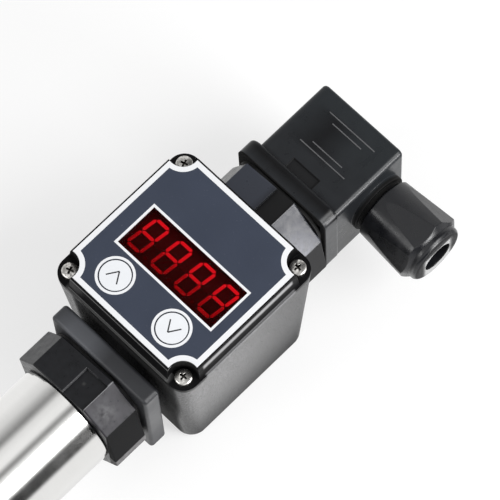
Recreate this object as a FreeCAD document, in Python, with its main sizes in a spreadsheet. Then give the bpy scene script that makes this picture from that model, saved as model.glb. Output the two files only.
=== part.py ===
import FreeCAD, Part
import math
import os
from types import SimpleNamespace

import Sketcher
from FreeCAD import Placement, Rotation, Vector

# Temperature transmitter with a plug-in four-digit display head and a right-angle cable plug.
# Millimetres. +Z runs up the device axis, the origin is where the axis meets the sealing seat
# under the hexagon, the display faces -Y and the cable gland points along +X.

# Driving sizes: name, value, what it measures
SIZES = [
    ("thread_d", 20.0, "process thread, outside"),
    ("thread_length", 18.0, "process thread below the seat"),
    ("thread_chamfer", 1.5, "lead-in at the thread's end"),
    ("hex_af", 30.0, "hexagon across its flats"),
    ("hex_height", 10.0, "hexagon, along the axis"),
    ("hex_bevel", 1.6, "turned bevel on the hexagon's corners"),
    ("spigot_rise", 6.0, "fitting's spigot inside the tube"),
    ("probe_d", 6.0, "probe sheath, outside"),
    ("probe_wall", 0.5, "probe sheath wall"),
    ("probe_reach", 50.0, "probe below the seat"),
    ("probe_seat", 6.0, "depth of the sheath in the fitting above the seat"),
    ("probe_tip", 1.8, "rounding of the sheath's tip"),
    ("sensor_d", 4.0, "resistance element"),
    ("sensor_length", 16.0, "resistance element"),
    ("lead_d", 0.8, "sensor lead"),
    ("lead_pitch", 1.4, "between sensor leads"),
    ("lead_overlap", 6.0, "leads along the board's face"),
    ("tube_od", 27.5, "body tube, outside"),
    ("tube_wall", 1.5, "body tube wall"),
    ("tube_length", 62.2, "body tube"),
    ("tube_break", 0.4, "broken outer edges of the tube"),
    ("fit_gap", 0.1, "slip fit, each side"),
    ("base_af", 30.4, "connector base across its flats"),
    ("base_chamfer", 6.5, "connector base, corner chamfer leg"),
    ("key_front", 7.7, "upper base, right front corner, along its front"),
    ("key_side", 10.6, "upper base, front corners, along its sides"),
    ("base_height", 10.0, "connector base, visible height"),
    ("base_round", 0.4, "moulded edge radius of the base"),
    ("base_turn", -7.2, "both bases turned on the axis, degrees"),
    ("base_roof", 3.5, "thickness of the base's top"),
    ("base_boss_d", 9.0, "boss round the threaded insert"),
    ("recess_left", 1.5, "left end of the key recess in the base's front"),
    ("recess_height", 8.2, "key recess of the lower base, from its underside"),
    ("recess_depth", 0.8, "key recess"),
    ("neck_length", 14.0, "threaded neck under a base"),
    ("neck_wall", 2.0, "wall of a base's neck"),
    ("seal_section", 1.2, "O-ring section"),
    ("seal_slack", 0.03, "O-ring above the floor of its groove"),
    ("seal_drop", 5.0, "O-ring below the base"),
    ("pin_pitch", 8.6, "pin blade from the axis"),
    ("pin_width", 6.3, "pin blade"),
    ("pin_thick", 0.8, "pin blade"),
    ("pin_rise", 11.0, "pin blade above its base"),
    ("pin_tail", 4.0, "pin blade below the base's top wall"),
    ("contact_sheet", 0.4, "sheet of a female contact"),
    ("contact_slack", 0.1, "female contact round the blade, each side"),
    ("contact_length", 10.5, "female contact"),
    ("contact_lift", 0.6, "female contact above its carrier's face"),
    ("wire_d", 1.2, "hook-up wire"),
    ("insert_d", 5.5, "threaded insert"),
    ("insert_length", 7.0, "threaded insert"),
    ("screw_d", 3.0, "connector screw"),
    ("screw_slack", 0.05, "screw in its thread, each side"),
    ("screw_way", 0.25, "screw in its through hole, each side"),
    ("screw_head_d", 5.6, "connector screw head"),
    ("screw_head", 2.2, "connector screw head height"),
    ("slot_width", 0.9, "driver slot"),
    ("slot_depth", 1.0, "driver slot"),
    ("gasket_thick", 0.9, "flat connector seal"),
    ("gasket_inset", 1.8, "flat seal inside the base's outline"),
    ("gasket_hole", 22.0, "opening of a flat seal"),
    ("board_thick", 1.6, "circuit boards"),
    ("converter_width", 20.0, "converter board"),
    ("converter_height", 48.0, "converter board"),
    ("converter_slot", 2.0, "board's slot in the fitting's spigot"),
    ("collar_left", 15.4, "socket collar from the axis, away from the gland"),
    ("collar_half", 16.3, "socket collar from the axis, other sides"),
    ("collar_corner", 1.3, "socket collar corner"),
    ("collar_height", 4.9, "socket collar"),
    ("collar_round", 0.9, "moulded edge radius of the collar"),
    ("neck_show", 2.0, "socket neck between its collar and the case"),
    ("boss_sunk", 5.0, "from the case's outside to a boss's inner face"),
    ("spot_depth", 1.0, "spot face under the upper base, into the case"),
    ("boss_d", 28.0, "case boss round a neck"),
    ("spot_d", 36.4, "spot face under the upper base"),
    ("nut_od", 27.4, "ring nut inside the case"),
    ("nut_thick", 4.0, "ring nut"),
    ("nut_notch", 3.0, "spanner notch of a ring nut"),
    ("nut_notch_depth", 0.5, "spanner notch into the ring nut"),
    ("neck_proud", 1.0, "socket neck above its nut"),
    ("axis_depth", 25.0, "from the overlay's face to the device axis"),
    ("film_thick", 0.3, "printed overlay"),
    ("film_margin", 0.55, "lid's face round the overlay, each side"),
    ("notch_inset", 2.4, "corner notch's middle from the case's side"),
    ("film_notch_r", 4.1, "overlay's corner notch"),
    ("plateau_depth", 5.0, "raised front of the lid"),
    ("plateau_ledge", 0.5, "lid's rim outside the raised front's foot, each side"),
    ("plateau_draft", 0.7, "raised front of the lid, draft of each side"),
    ("plateau_corner", 2.2, "upright edges of the raised front"),
    ("plateau_round", 0.4, "edge round the lid's face"),
    ("lid_rim", 1.2, "lid's rim"),
    ("lid_wall", 1.7, "lid's front wall"),
    ("notch_r", 3.95, "screw notch in the lid"),
    ("notch_wall", 1.4, "wall round a screw notch"),
    ("case_width", 45.0, "case at the parting line, square"),
    ("case_draft", 2.45, "draft of each side of the case"),
    ("case_corner", 4.4, "case corner"),
    ("case_round", 1.8, "edge round the case's back"),
    ("case_depth", 43.2, "case from the parting line to its back"),
    ("case_wall", 2.0, "case wall"),
    ("pillar_d", 6.0, "screw pillar in the case"),
    ("pillar_length", 15.0, "screw pillar in the case"),
    ("lid_screw_inset", 3.5, "lid screw from the case's side"),
    ("lid_screw_d", 2.5, "lid screw"),
    ("lid_screw_length", 11.0, "lid screw under its head"),
    ("lid_head_d", 4.2, "lid screw head"),
    ("lid_head", 1.5, "lid screw head height"),
    ("lid_head_round", 0.7, "dome of a lid screw head"),
    ("lid_seal_width", 0.7, "lid seal"),
    ("lid_seal_inset", 0.2, "lid seal inside the case wall, each side"),
    ("lid_seal_depth", 1.4, "lid seal"),
    ("window_x", 0.67, "window's middle, across"),
    ("window_z", -0.9, "window's middle, above the case's middle"),
    ("window_width", 31.0, "window in the overlay"),
    ("window_height", 12.07, "window in the overlay"),
    ("pane_gap", 0.05, "pane in its window, each side"),
    ("pane_lip", 1.0, "pane's lip behind the lid"),
    ("pane_flange", 0.8, "pane's lip thickness"),
    ("led_width", 32.2, "digit module"),
    ("led_height", 14.0, "digit module"),
    ("led_depth", 6.2, "digit module"),
    ("led_x", 0.2, "digit module's middle, across"),
    ("led_z", -0.35, "digit module above the case's middle"),
    ("digit_pitch", 7.82, "from digit to digit"),
    ("digit_height", 9.7, "lit digit"),
    ("digit_width", 5.0, "lit digit"),
    ("digit_slant", 7.0, "lean of the digits, degrees"),
    ("bar_width", 0.85, "digit segment"),
    ("bar_gap", 0.15, "between segments, at their points"),
    ("bar_depth", 0.4, "digit segment"),
    ("dot_d", 1.0, "decimal point"),
    ("panel_width", 37.0, "display board"),
    ("panel_height", 34.0, "display board"),
    ("button_x", 9.44, "button from the buttons' middle"),
    ("button_shift", 0.29, "buttons' middle, across"),
    ("button_z", -13.35, "buttons above the case's middle"),
    ("button_d", 7.7, "button disc"),
    ("button_gap", 0.2, "button in its hole, each side"),
    ("button_thick", 1.5, "button disc"),
    ("stem_d", 3.4, "button stem and switch plunger"),
    ("plunger_rise", 0.9, "plunger above its switch"),
    ("plunger_sunk", 0.8, "plunger inside its switch"),
    ("press_travel", 0.25, "button travel"),
    ("switch_width", 6.0, "tact switch"),
    ("switch_height", 3.4, "tact switch"),
    ("flange_inset", 0.6, "plug's foot inside the base's outline"),
    ("plug_flange_height", 4.9, "plug's foot"),
    ("plug_flange_corner", 3.2, "plug's foot corner"),
    ("plug_left", 12.0, "plug block from the axis, away from the gland"),
    ("plug_right", 14.4, "plug block from the axis, gland side"),
    ("plug_half", 13.4, "plug block, half its depth"),
    ("plug_height", 27.45, "plug above its seal"),
    ("plug_corner", 1.6, "plug block's upright edges"),
    ("plug_round", 0.9, "plug's top edges"),
    ("plug_wall", 1.3, "plug wall"),
    ("plug_roof", 5.0, "plug's top wall"),
    ("mark_width", 8.6, "bare field on the plug's front"),
    ("mark_height", 2.9, "bare field on the plug's front"),
    ("mark_depth", 0.4, "bare field on the plug's front"),
    ("mark_x", 0.85, "bare field, its middle across"),
    ("mark_rise", 6.6, "bare field's middle above the plug's seal"),
    ("head_well_d", 7.2, "screw well in the plug's top"),
    ("head_well", 3.0, "screw well in the plug's top"),
    ("washer_d", 6.6, "seal under the screw head"),
    ("washer_thick", 0.8, "seal under the screw head"),
    ("carrier_height", 11.1, "contact carrier"),
    ("terminal_d", 2.4, "terminal screw"),
    ("terminal_height", 2.4, "terminal screw"),
    ("gland_rise", 17.6, "gland axis above the plug's seal"),
    ("gland_d", 14.0, "gland thread, outside"),
    ("gland_length", 11.6, "gland thread out of the plug"),
    ("gland_bore", 11.2, "grommet's seat in the gland"),
    ("gland_throat", 9.2, "gland bore behind the grommet"),
    ("gland_step", 3.1, "grommet's seat out of the plug's face"),
    ("gland_ring_d", 16.4, "ring at the gland's root"),
    ("gland_ring_width", 1.3, "ring at the gland's root"),
    ("grommet_hole", 7.9, "cable hole of the grommet"),
    ("grommet_proud", 0.2, "grommet out of the gland's mouth"),
    ("press_ring_od", 13.6, "pressure ring"),
    ("press_ring_id", 9.2, "pressure ring"),
    ("press_ring_thick", 1.2, "pressure ring"),
    ("run_gap", 0.3, "between pieces that move on each other"),
    ("nut_gap", 2.5, "gland nut from the plug's face"),
    ("nut_mouth_d", 16.7, "gland nut at its plug end"),
    ("nut_wide_d", 18.8, "gland nut at its wide end"),
    ("nut_body", 16.4, "gland nut's flared body"),
    ("nut_break", 0.5, "broken edges of the gland nut"),
    ("nut_chamfer", 1.2, "gland nut's chamfer at its wide end"),
    ("nut_end_d", 16.0, "gland nut's end ring"),
    ("nut_end", 2.2, "gland nut's end ring"),
    ("nut_end_round", 1.5, "gland nut's end ring, rounding"),
    ("nut_opening", 8.4, "gland nut's cable opening"),
    ("nut_thread_slack", 0.3, "nut round the gland thread, each side"),
    ("flat_inner", 16.9, "nut's flats across, at their run-out"),
    ("flat_outer", 17.4, "nut's flats across, at the wide end"),
    ("nut_turn", 36.9, "nut turned on its axis, degrees"),
]

doc = FreeCAD.newDocument("temperature_transmitter")


class Dim:
    """A length with its value and the expression that ties it to the sheet."""

    def __init__(self, value, text):
        self.value = value
        self.text = text

    def join(self, sign, other, value):
        return Dim(value, f"({self.text} {sign} {other.text})")

    def __add__(self, other):
        other = dim(other)
        return self.join("+", other, self.value + other.value)

    def __sub__(self, other):
        other = dim(other)
        return self.join("-", other, self.value - other.value)

    def __mul__(self, other):
        other = dim(other)
        return self.join("*", other, self.value * other.value)

    def __truediv__(self, other):
        other = dim(other)
        return self.join("/", other, self.value / other.value)

    def __radd__(self, other):
        return dim(other) + self

    def __rsub__(self, other):
        return dim(other) - self

    def __neg__(self):
        return dim(0) - self

    __rmul__ = __mul__


def dim(size):
    """A plain number as a Dim; a Dim as it is."""
    if isinstance(size, Dim):
        return size
    return Dim(float(size), f"({float(size)!r})")


def fill_sheet():
    """The sheet of driving sizes, and one Dim for each of its rows."""
    sheet = doc.addObject("Spreadsheet::Sheet", "Sizes")
    for row, (name, value, note) in enumerate(SIZES, 1):
        sheet.set(f"A{row}", name)
        sheet.set(f"B{row}", str(value))
        sheet.set(f"C{row}", note)
        sheet.setAlias(f"B{row}", name)
    doc.recompute()
    dims = {name: Dim(float(sheet.get(name)), f"Sizes.{name}") for name, _, _ in SIZES}
    return SimpleNamespace(**dims)


S = fill_sheet()

# Sizes of the display head that follow the case's width
case_half = S.case_width / 2
case_back = S.case_width - 2 * S.case_draft
plateau_foot = S.case_width - 2 * S.plateau_ledge
plateau_front = plateau_foot - 2 * S.plateau_draft
film_width = plateau_front - 2 * S.film_margin
notch_at = case_half - S.notch_inset
lid_screw_at = case_half - S.lid_screw_inset
inner_reach = case_half - S.boss_sunk

# Levels up the axis
hex_top = S.hex_height
tube_top = hex_top + S.tube_length
lower_top = tube_top + S.base_height
collar_low = lower_top + S.gasket_thick
collar_top = collar_low + S.collar_height
case_mid = collar_top + S.neck_show + case_half
upper_low = case_mid + case_half - S.spot_depth
upper_top = upper_low + S.base_height
plug_low = upper_top + S.gasket_thick
plug_top = plug_low + S.plug_height
gland_z = plug_low + S.gland_rise
socket_nut_low = case_mid - inner_reach
socket_top = socket_nut_low + S.nut_thick + S.neck_proud
window_z = case_mid + S.window_z
led_z = case_mid + S.led_z
button_z = case_mid + S.button_z

# Levels from the display's face to the case's back
face_y = -S.axis_depth
film_back = face_y + S.film_thick
lid_inner = film_back + S.lid_wall
ledge_y = film_back + S.plateau_depth
parting_y = ledge_y + S.lid_rim
back_y = parting_y + S.case_depth
pane_back = lid_inner + S.pane_flange
panel_front = pane_back + S.led_depth
panel_back = panel_front + S.board_thick
switch_front = panel_front - S.switch_height
plunger_front = switch_front - S.plunger_rise

# Shared fits
tube_id = S.tube_od - 2 * S.tube_wall
neck_d = tube_id - 2 * S.fit_gap
neck_hole_d = neck_d + 2 * S.fit_gap
neck_bore = neck_d - 2 * S.neck_wall
pin_low = -S.base_roof - S.pin_tail
contact_slot = (S.pin_thick + 2 * S.contact_slack, S.pin_width + 2 * S.contact_slack)
contact_size = tuple(slot + 2 * S.contact_sheet for slot in contact_slot)
pocket_size = tuple(size + 2 * S.fit_gap for size in contact_size)
button_hole_d = S.button_d + 2 * S.button_gap
nut_start = S.plug_right + S.nut_gap
gland_mouth = S.plug_right + S.gland_length
press_ring_start = gland_mouth + S.grommet_proud + S.run_gap
nut_shoulder = press_ring_start + S.press_ring_thick + S.run_gap

AXIS_TURNS = {
    "Z": Rotation(),
    "X": Rotation(Vector(0, 1, 0), 90),
    "Y": Rotation(Vector(1, 0, 0), -90),
    "-Y": Rotation(Vector(1, 0, 0), 90),
}
AXIS_LETTERS = {"Z": "xyz", "X": "yzx", "Y": "xzy"}
PIN_SPOTS = [(1, 0), (-1, 0), (0, 1), (0, -1)]
CORNERS = [(1, 1), (-1, 1), (-1, -1), (1, -1)]


# Document helpers

def bind(obj, **sizes):
    """Tie an object's properties to the sheet."""
    for name, size in sizes.items():
        obj.setExpression(name, dim(size).text)


def place(obj, at, turn=AXIS_TURNS["Z"]):
    """Put an object at a bound place, turned."""
    obj.Placement = Placement(Vector(0, 0, 0), turn)
    for letter, size in zip("xyz", at):
        obj.setExpression(f"Placement.Base.{letter}", dim(size).text)


def rod(name, radius, start, end, at=(0, 0), along="Z"):
    """Cylinder from start to end along an axis; at holds the other two places, in that axis's order."""
    obj = doc.addObject("Part::Cylinder", name)
    bind(obj, Radius=radius, Height=end - start)
    spot = dict(zip(AXIS_LETTERS[along], (at[0], at[1], start)))
    place(obj, [spot[letter] for letter in "xyz"], AXIS_TURNS[along])
    return obj


def block(name, x, y, z):
    """Box between low and high bounds."""
    obj = doc.addObject("Part::Box", name)
    bind(obj, Length=x[1] - x[0], Width=y[1] - y[0], Height=z[1] - z[0])
    place(obj, [dim(x[0]), dim(y[0]), dim(z[0])])
    return obj


def span(middle, width):
    """Low and high bounds of a width about its middle."""
    return (middle - width / 2, middle + width / 2)


def fuse(name, *shapes):
    """One solid from several that touch."""
    obj = doc.addObject("Part::MultiFuse", name)
    obj.Shapes = list(shapes)
    obj.Refine = True
    return obj


def cut(name, base, *tools):
    """A base less one or more tools."""
    obj = doc.addObject("Part::Cut", name)
    obj.Base = base
    obj.Tool = tools[0] if len(tools) == 1 else fuse(name + "_tools", *tools)
    obj.Refine = True
    return obj


def common(name, first, second):
    """What two shapes share."""
    obj = doc.addObject("Part::MultiCommon", name)
    obj.Shapes = [first, second]
    obj.Refine = True
    return obj


def group(name, shapes):
    """Separate solids kept as one sub-part."""
    obj = doc.addObject("Part::Compound", name)
    obj.Links = list(shapes)
    return obj


def plane(body, role):
    """One of a body's own origin planes."""
    return next(feature for feature in body.Origin.OriginFeatures if feature.Role == role)


def outline(body, name, role, loops, offset=0):
    """Sketch of closed straight-sided loops; each corner is held by two bound sizes."""
    sketch = body.newObject("Sketcher::SketchObject", name)
    sketch.AttachmentSupport = [(plane(body, role), "")]
    sketch.MapMode = "FlatFace"
    sketch.setExpression("AttachmentOffset.Base.z", dim(offset).text)
    for loop in loops:
        first = sketch.GeometryCount
        corners = [(dim(u), dim(v)) for u, v in loop]
        after = corners[1:] + corners[:1]
        for (u, v), (next_u, next_v) in zip(corners, after):
            ends = Vector(u.value, v.value, 0), Vector(next_u.value, next_v.value, 0)
            sketch.addGeometry(Part.LineSegment(*ends))
        for i in range(len(corners)):
            joined = first + (i + 1) % len(corners)
            sketch.addConstraint(Sketcher.Constraint("Coincident", first + i, 2, joined, 1))
        for i, corner in enumerate(corners):
            for kind, size in zip(("DistanceX", "DistanceY"), corner):
                held = Sketcher.Constraint(kind, -1, 1, first + i, 1, size.value)
                index = sketch.addConstraint(held)
                sketch.setExpression(f"Constraints[{index}]", size.text)
    return sketch


def rectangle(u, v):
    """Corners of a rectangle between bounds."""
    return [(u[0], v[0]), (u[1], v[0]), (u[1], v[1]), (u[0], v[1])]


def square(width):
    """Corners of a square about the origin."""
    half = width / 2
    return rectangle((-half, half), (-half, half))


def turned(name, profile, axis="V_Axis"):
    """Turned piece: a profile in the upright plane spun about one of its axes."""
    body = doc.addObject("PartDesign::Body", name)
    sketch = outline(body, name + "_profile", "XZ_Plane", [profile])
    spin = body.newObject("PartDesign::Revolution", name + "_spin")
    spin.Profile = sketch
    spin.ReferenceAxis = (sketch, [axis])
    spin.Angle = 360
    return body


def prism(name, loops, low, high):
    """Outline raised along the axis."""
    body = doc.addObject("PartDesign::Body", name)
    pad = body.newObject("PartDesign::Pad", name + "_pad")
    pad.Profile = outline(body, name + "_outline", "XY_Plane", loops, low)
    bind(pad, Length=high - low)
    return body


def panel(name, loops, front, back):
    """Outline in the display's plane, from a back level to a front level."""
    body = doc.addObject("PartDesign::Body", name)
    pad = body.newObject("PartDesign::Pad", name + "_pad")
    pad.Profile = outline(body, name + "_outline", "XZ_Plane", loops, -back)
    bind(pad, Length=back - front)
    return body


def taper(name, front_width, front, back_width, back):
    """Square block that tapers between two levels of the display's plane."""
    body = doc.addObject("PartDesign::Body", name)
    wedge = body.newObject("PartDesign::AdditiveWedge", name + "_wedge")
    near = front_width / 2
    far = back_width / 2
    bind(wedge, Xmin=-near, Xmax=near, Zmin=-near, Zmax=near, Ymin=front)
    bind(wedge, X2min=-far, X2max=far, Z2min=-far, Z2max=far, Ymax=back)
    return body


def round_edges(body, radius, wanted):
    """Fillet the edges of a body's last feature that pass a test."""
    doc.recompute()
    base = body.Tip
    names = [f"Edge{i}" for i, edge in enumerate(base.Shape.Edges, 1) if wanted(edge)]
    fillet = body.newObject("PartDesign::Fillet", f"{body.Name}_round{len(body.Group)}")
    fillet.Base = (base, names)
    bind(fillet, Radius=radius)
    return body


def upright(edge):
    """True for an edge along Z."""
    ends = [vertex.Point for vertex in edge.Vertexes]
    return len(ends) == 2 and (ends[0] - ends[1]).cross(Vector(0, 0, 1)).Length < 1e-6


def crosswise(edge):
    """True for an edge that runs from front to back, drafted or not."""
    ends = [vertex.Point for vertex in edge.Vertexes]
    return len(ends) == 2 and abs(ends[0].y - ends[1].y) > 1


def at_depth(level):
    """Test for edges that lie at one level of Y."""
    return lambda edge: all(abs(vertex.Y - level.value) < 1e-6 for vertex in edge.Vertexes)


def at_height(level):
    """Test for edges that lie at one level of Z."""
    return lambda edge: all(abs(vertex.Z - level.value) < 1e-6 for vertex in edge.Vertexes)


def ring(name, outer_d, inner_d, start, end, at=(0, 0), along="Z"):
    """Plain ring between two levels."""
    solid = rod(name + "_outer", outer_d / 2, start, end, at, along)
    hole = rod(name + "_hole", inner_d / 2, start, end, at, along)
    return cut(name, solid, hole)


# Process end

def process_fitting():
    """Hexagon, threaded shank and spigot of one bar, bored for the sheath and its leads."""
    thread_r = S.thread_d / 2
    bore_r = S.probe_d / 2 + S.fit_gap
    way_r = S.lead_pitch + 1.5 * S.lead_d
    core_r = neck_d / 2
    top = hex_top + S.spigot_rise
    shank = turned("fitting_shank", [
        (bore_r, -S.thread_length),
        (thread_r - S.thread_chamfer, -S.thread_length),
        (thread_r, S.thread_chamfer - S.thread_length),
        (thread_r, 0),
        (core_r, 0),
        (core_r, top),
        (way_r, top),
        (way_r, S.probe_seat),
        (bore_r, S.probe_seat),
    ])
    prism_bar = doc.addObject("Part::Prism", "fitting_bar")
    prism_bar.Polygon = 6
    corner_r = S.hex_af / math.sqrt(3)
    bind(prism_bar, Circumradius=corner_r, Height=S.hex_height)
    flat_r = S.hex_af / 2
    blank = turned("fitting_blank", [
        (core_r - S.hex_bevel, 0),
        (flat_r, 0),
        (corner_r, S.hex_bevel),
        (corner_r, S.hex_height - S.hex_bevel),
        (flat_r, S.hex_height),
        (core_r - S.hex_bevel, S.hex_height),
    ])
    hexagon = common("fitting_hexagon", prism_bar, blank)
    slot_x = span(dim(0), S.converter_width + 2 * S.fit_gap)
    slot_y = span(dim(0), S.board_thick + 2 * S.fit_gap)
    slot = block("fitting_slot", slot_x, slot_y, (top - S.converter_slot, top))
    return cut("process_fitting", fuse("fitting_solid", shank, hexagon), slot)


def probe_sheath():
    """Thin tube with a domed, closed tip."""
    outer = S.probe_d / 2
    inner = outer - S.probe_wall
    tip = S.probe_wall - S.probe_reach
    sheath = turned("probe_sheath", [
        (0, -S.probe_reach),
        (outer, -S.probe_reach),
        (outer, S.probe_seat),
        (inner, S.probe_seat),
        (inner, tip),
        (0, tip),
    ])
    tip_edge = at_height(-S.probe_reach)
    return round_edges(sheath, S.probe_tip, lambda edge: tip_edge(edge) and edge.isClosed())


def sensor():
    """Resistance element on the sheath's end, with three leads up to the converter board."""
    low = S.probe_wall - S.probe_reach
    top = low + S.sensor_length
    element = rod("sensor_element", S.sensor_d / 2, low, top)
    lead_end = hex_top + S.spigot_rise - S.converter_slot + S.lead_overlap
    lead_y = -S.board_thick / 2 - S.lead_d / 2
    leads = []
    for step in (-1, 0, 1):
        spot = (step * S.lead_pitch, lead_y)
        leads.append(rod(f"sensor_lead{step + 2}", S.lead_d / 2, top, lead_end, spot))
    return [element, group("sensor_leads", leads)]


def housing_tube():
    """Body tube with its outer edges broken."""
    outer = S.tube_od / 2
    return turned("housing_tube", [
        (tube_id / 2, hex_top),
        (outer - S.tube_break, hex_top),
        (outer, hex_top + S.tube_break),
        (outer, tube_top - S.tube_break),
        (outer - S.tube_break, tube_top),
        (tube_id / 2, tube_top),
    ])


def converter():
    """Upright board in the tube, its chips, and two wires up to the pins."""
    low = hex_top + S.spigot_rise - S.converter_slot
    top = low + S.converter_height
    across = span(dim(0), S.converter_width)
    board = block("transmitter_board", across, span(dim(0), S.board_thick), (low, top))
    face = S.board_thick / 2
    chips = []
    shares = [(0, 0.33, 0.45, 0.19, 1.2), (-0.15, 0.62, 0.3, 0.1, 1.0), (0.2, 0.83, 0.35, 0.08, 1.9)]
    for i, (x, z, width, height, depth) in enumerate(shares):
        spot_x = span(x * S.converter_width, width * S.converter_width)
        spot_z = span(low + z * S.converter_height, height * S.converter_height)
        chips.append(block(f"board_chip{i}", spot_x, (face, face + depth * S.board_thick), spot_z))
    wires = []
    for side in (1, -1):
        spot = (side * S.pin_pitch, 0)
        wires.append(rod(f"signal_wire{side + 2}", S.wire_d / 2, top, lower_top + pin_low, spot))
    return [board, group("board_chips", chips), group("signal_wires", wires)]


# Connectors

def pins(name, top):
    """Four flat blades, moulded in a base whose top is at the given level."""
    blades = []
    for i, (x, y) in enumerate(PIN_SPOTS):
        size = (S.pin_thick, S.pin_width) if x else (S.pin_width, S.pin_thick)
        spot = (span(x * S.pin_pitch, size[0]), span(y * S.pin_pitch, size[1]))
        blades.append(block(f"{name}_blade{i}", *spot, (top + pin_low, top + S.pin_rise)))
    return group(name, blades)


def insert(name, top):
    """Threaded insert, flush with the top of a base."""
    hole = S.screw_d + 2 * S.screw_slack
    return ring(name, S.insert_d, hole, top - S.insert_length, top)


def seal_groove(name, low):
    """Room for an O-ring round the neck of a base."""
    middle = low - S.seal_drop
    half = S.seal_section / 2 + S.fit_gap
    inner_d = neck_d - 2 * (S.seal_section + S.seal_slack)
    return ring(name, neck_d, inner_d, middle - half, middle + half)


def connector_base(name, low, blades, upper):
    """Eight-sided moulded base with a hollow neck below it, for four blades and a threaded insert."""
    top = low + S.base_height
    half = S.base_af / 2
    edge = half - S.base_chamfer
    right = half - S.key_front if upper else edge
    side = half - S.key_side if upper else edge
    head = prism(name + "_head", [[
        (-edge, -half), (right, -half), (half, -side), (half, edge),
        (edge, half), (-edge, half), (-half, edge), (-half, -side),
    ]], low, top)
    round_edges(head, S.base_round, lambda _: True)
    recess = head.newObject("PartDesign::Pocket", name + "_recess")
    recess_top = top + S.base_round if upper else low + S.recess_height
    field = rectangle((S.recess_left, right), (low - S.base_round, recess_top))
    recess.Profile = outline(head, name + "_recess_outline", "XZ_Plane", [field], half)
    bind(recess, Length=S.recess_depth)
    head.setExpression("Placement.Rotation.Angle", S.base_turn.text)
    neck = rod(name + "_neck", neck_d / 2, low - S.neck_length, low)
    bore = rod(name + "_bore", neck_bore / 2, low - S.neck_length, top - S.base_roof)
    boss_low = top - S.insert_length - S.base_roof / 2
    boss = rod(name + "_boss", S.base_boss_d / 2, boss_low, top - S.base_roof)
    grooves = [] if upper else [seal_groove(name + "_groove", low)]
    hollow = cut(name + "_hollow", fuse(name + "_solid", head, neck), bore, *grooves)
    room = rod(name + "_insert_room", S.insert_d / 2, top - S.insert_length, top)
    way = rod(name + "_screw_way", S.screw_d / 2 + S.screw_way, top - S.insert_length - S.base_roof, top)
    return cut(name, fuse(name + "_bossed", hollow, boss), blades, room, way)


def flat_seal(name, low):
    """Square flat seal with a round opening."""
    width = S.base_af - 2 * S.gasket_inset
    sheet = prism(name + "_sheet", [square(width)], low, low + S.gasket_thick)
    round_edges(sheet, S.base_chamfer, upright)
    hole = rod(name + "_hole", S.gasket_hole / 2, low, low + S.gasket_thick)
    return cut(name, sheet, hole)


def contact_boxes(name, low, high, size):
    """Four blocks at the pin spots, of one size across and along the blades."""
    boxes = []
    for i, (x, y) in enumerate(PIN_SPOTS):
        wide = size if x else size[::-1]
        spot = (span(x * S.pin_pitch, wide[0]), span(y * S.pin_pitch, wide[1]))
        boxes.append(block(f"{name}{i}", *spot, (low, high)))
    return boxes


def contacts(name, carrier_low):
    """Four folded female contacts that the blades slide into."""
    low = carrier_low + S.contact_lift
    high = low + S.contact_length
    bodies = contact_boxes(name + "_body", low, high, contact_size)
    slots = contact_boxes(name + "_slot", low, high, contact_slot)
    return group(name, [cut(f"{name}_clip{i}", *pair) for i, pair in enumerate(zip(bodies, slots))])


def connector_screw(name, low, seat):
    """Cheese-head screw from its thread's end to the seat under its head, slotted."""
    head_r = S.screw_head_d / 2
    top = seat + S.screw_head
    blank = turned(name + "_blank", [
        (0, low),
        (S.screw_d / 2, low),
        (S.screw_d / 2, seat),
        (head_r, seat),
        (head_r, top),
        (0, top),
    ])
    across = (span(dim(0), S.screw_head_d), span(dim(0), S.slot_width))
    slot = block(name + "_slot", *across, (top - S.slot_depth, top))
    return cut(name, blank, slot)


def ring_nut(name, low):
    """Round nut inside the case, with four spanner notches."""
    nut = ring(name + "_blank", S.nut_od, neck_hole_d, low, low + S.nut_thick)
    notches = []
    outer = S.nut_od / 2
    for i, (x, y) in enumerate(PIN_SPOTS):
        size = (2 * S.nut_notch_depth, S.nut_notch) if x else (S.nut_notch, 2 * S.nut_notch_depth)
        spot = (span(x * outer, size[0]), span(y * outer, size[1]))
        notches.append(block(f"{name}_notch{i}", *spot, (low, low + S.nut_thick)))
    return cut(name, nut, *notches)


def socket_shell():
    """Display's socket: a rounded square collar on a round neck, with four contact pockets."""
    sides = rectangle((-S.collar_left, S.collar_half), (-S.collar_half, S.collar_half))
    collar = prism("socket_collar", [sides], collar_low, collar_top)
    round_edges(collar, S.collar_corner, upright)
    low_edge = at_height(collar_low)
    top_edge = at_height(collar_top)
    round_edges(collar, S.collar_round, lambda edge: low_edge(edge) or top_edge(edge))
    neck = rod("socket_neck", neck_d / 2, collar_top, socket_top)
    pockets = contact_boxes("socket_pocket", collar_low, socket_top, pocket_size)
    way = rod("socket_screw_way", S.screw_d / 2 + S.screw_way, collar_low, socket_top)
    return cut("socket_shell", fuse("socket_solid", collar, neck), *pockets, way)


# Display head

def corner_rods(name, radius, start, end, out=lid_screw_at):
    """Four cylinders along Y near the case's corners, at the lid's screw places unless told."""
    rods = []
    for i, (x, z) in enumerate(CORNERS):
        at = (x * out, case_mid + z * out)
        rods.append(rod(f"{name}{i}", radius, start, end, at, "Y"))
    return rods


def lift_to_case(body):
    """Raise a body that is drawn about the case's middle."""
    place(body, (0, 0, case_mid))
    return body


def lid_seal_loops(slack):
    """Outer and inner outline of the lid's seal, or of its rebate."""
    inner = S.case_width - 2 * S.case_wall - 2 * S.lid_seal_inset
    return [square(inner + 2 * S.lid_seal_width + 2 * slack), square(inner - 2 * slack)]


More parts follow.
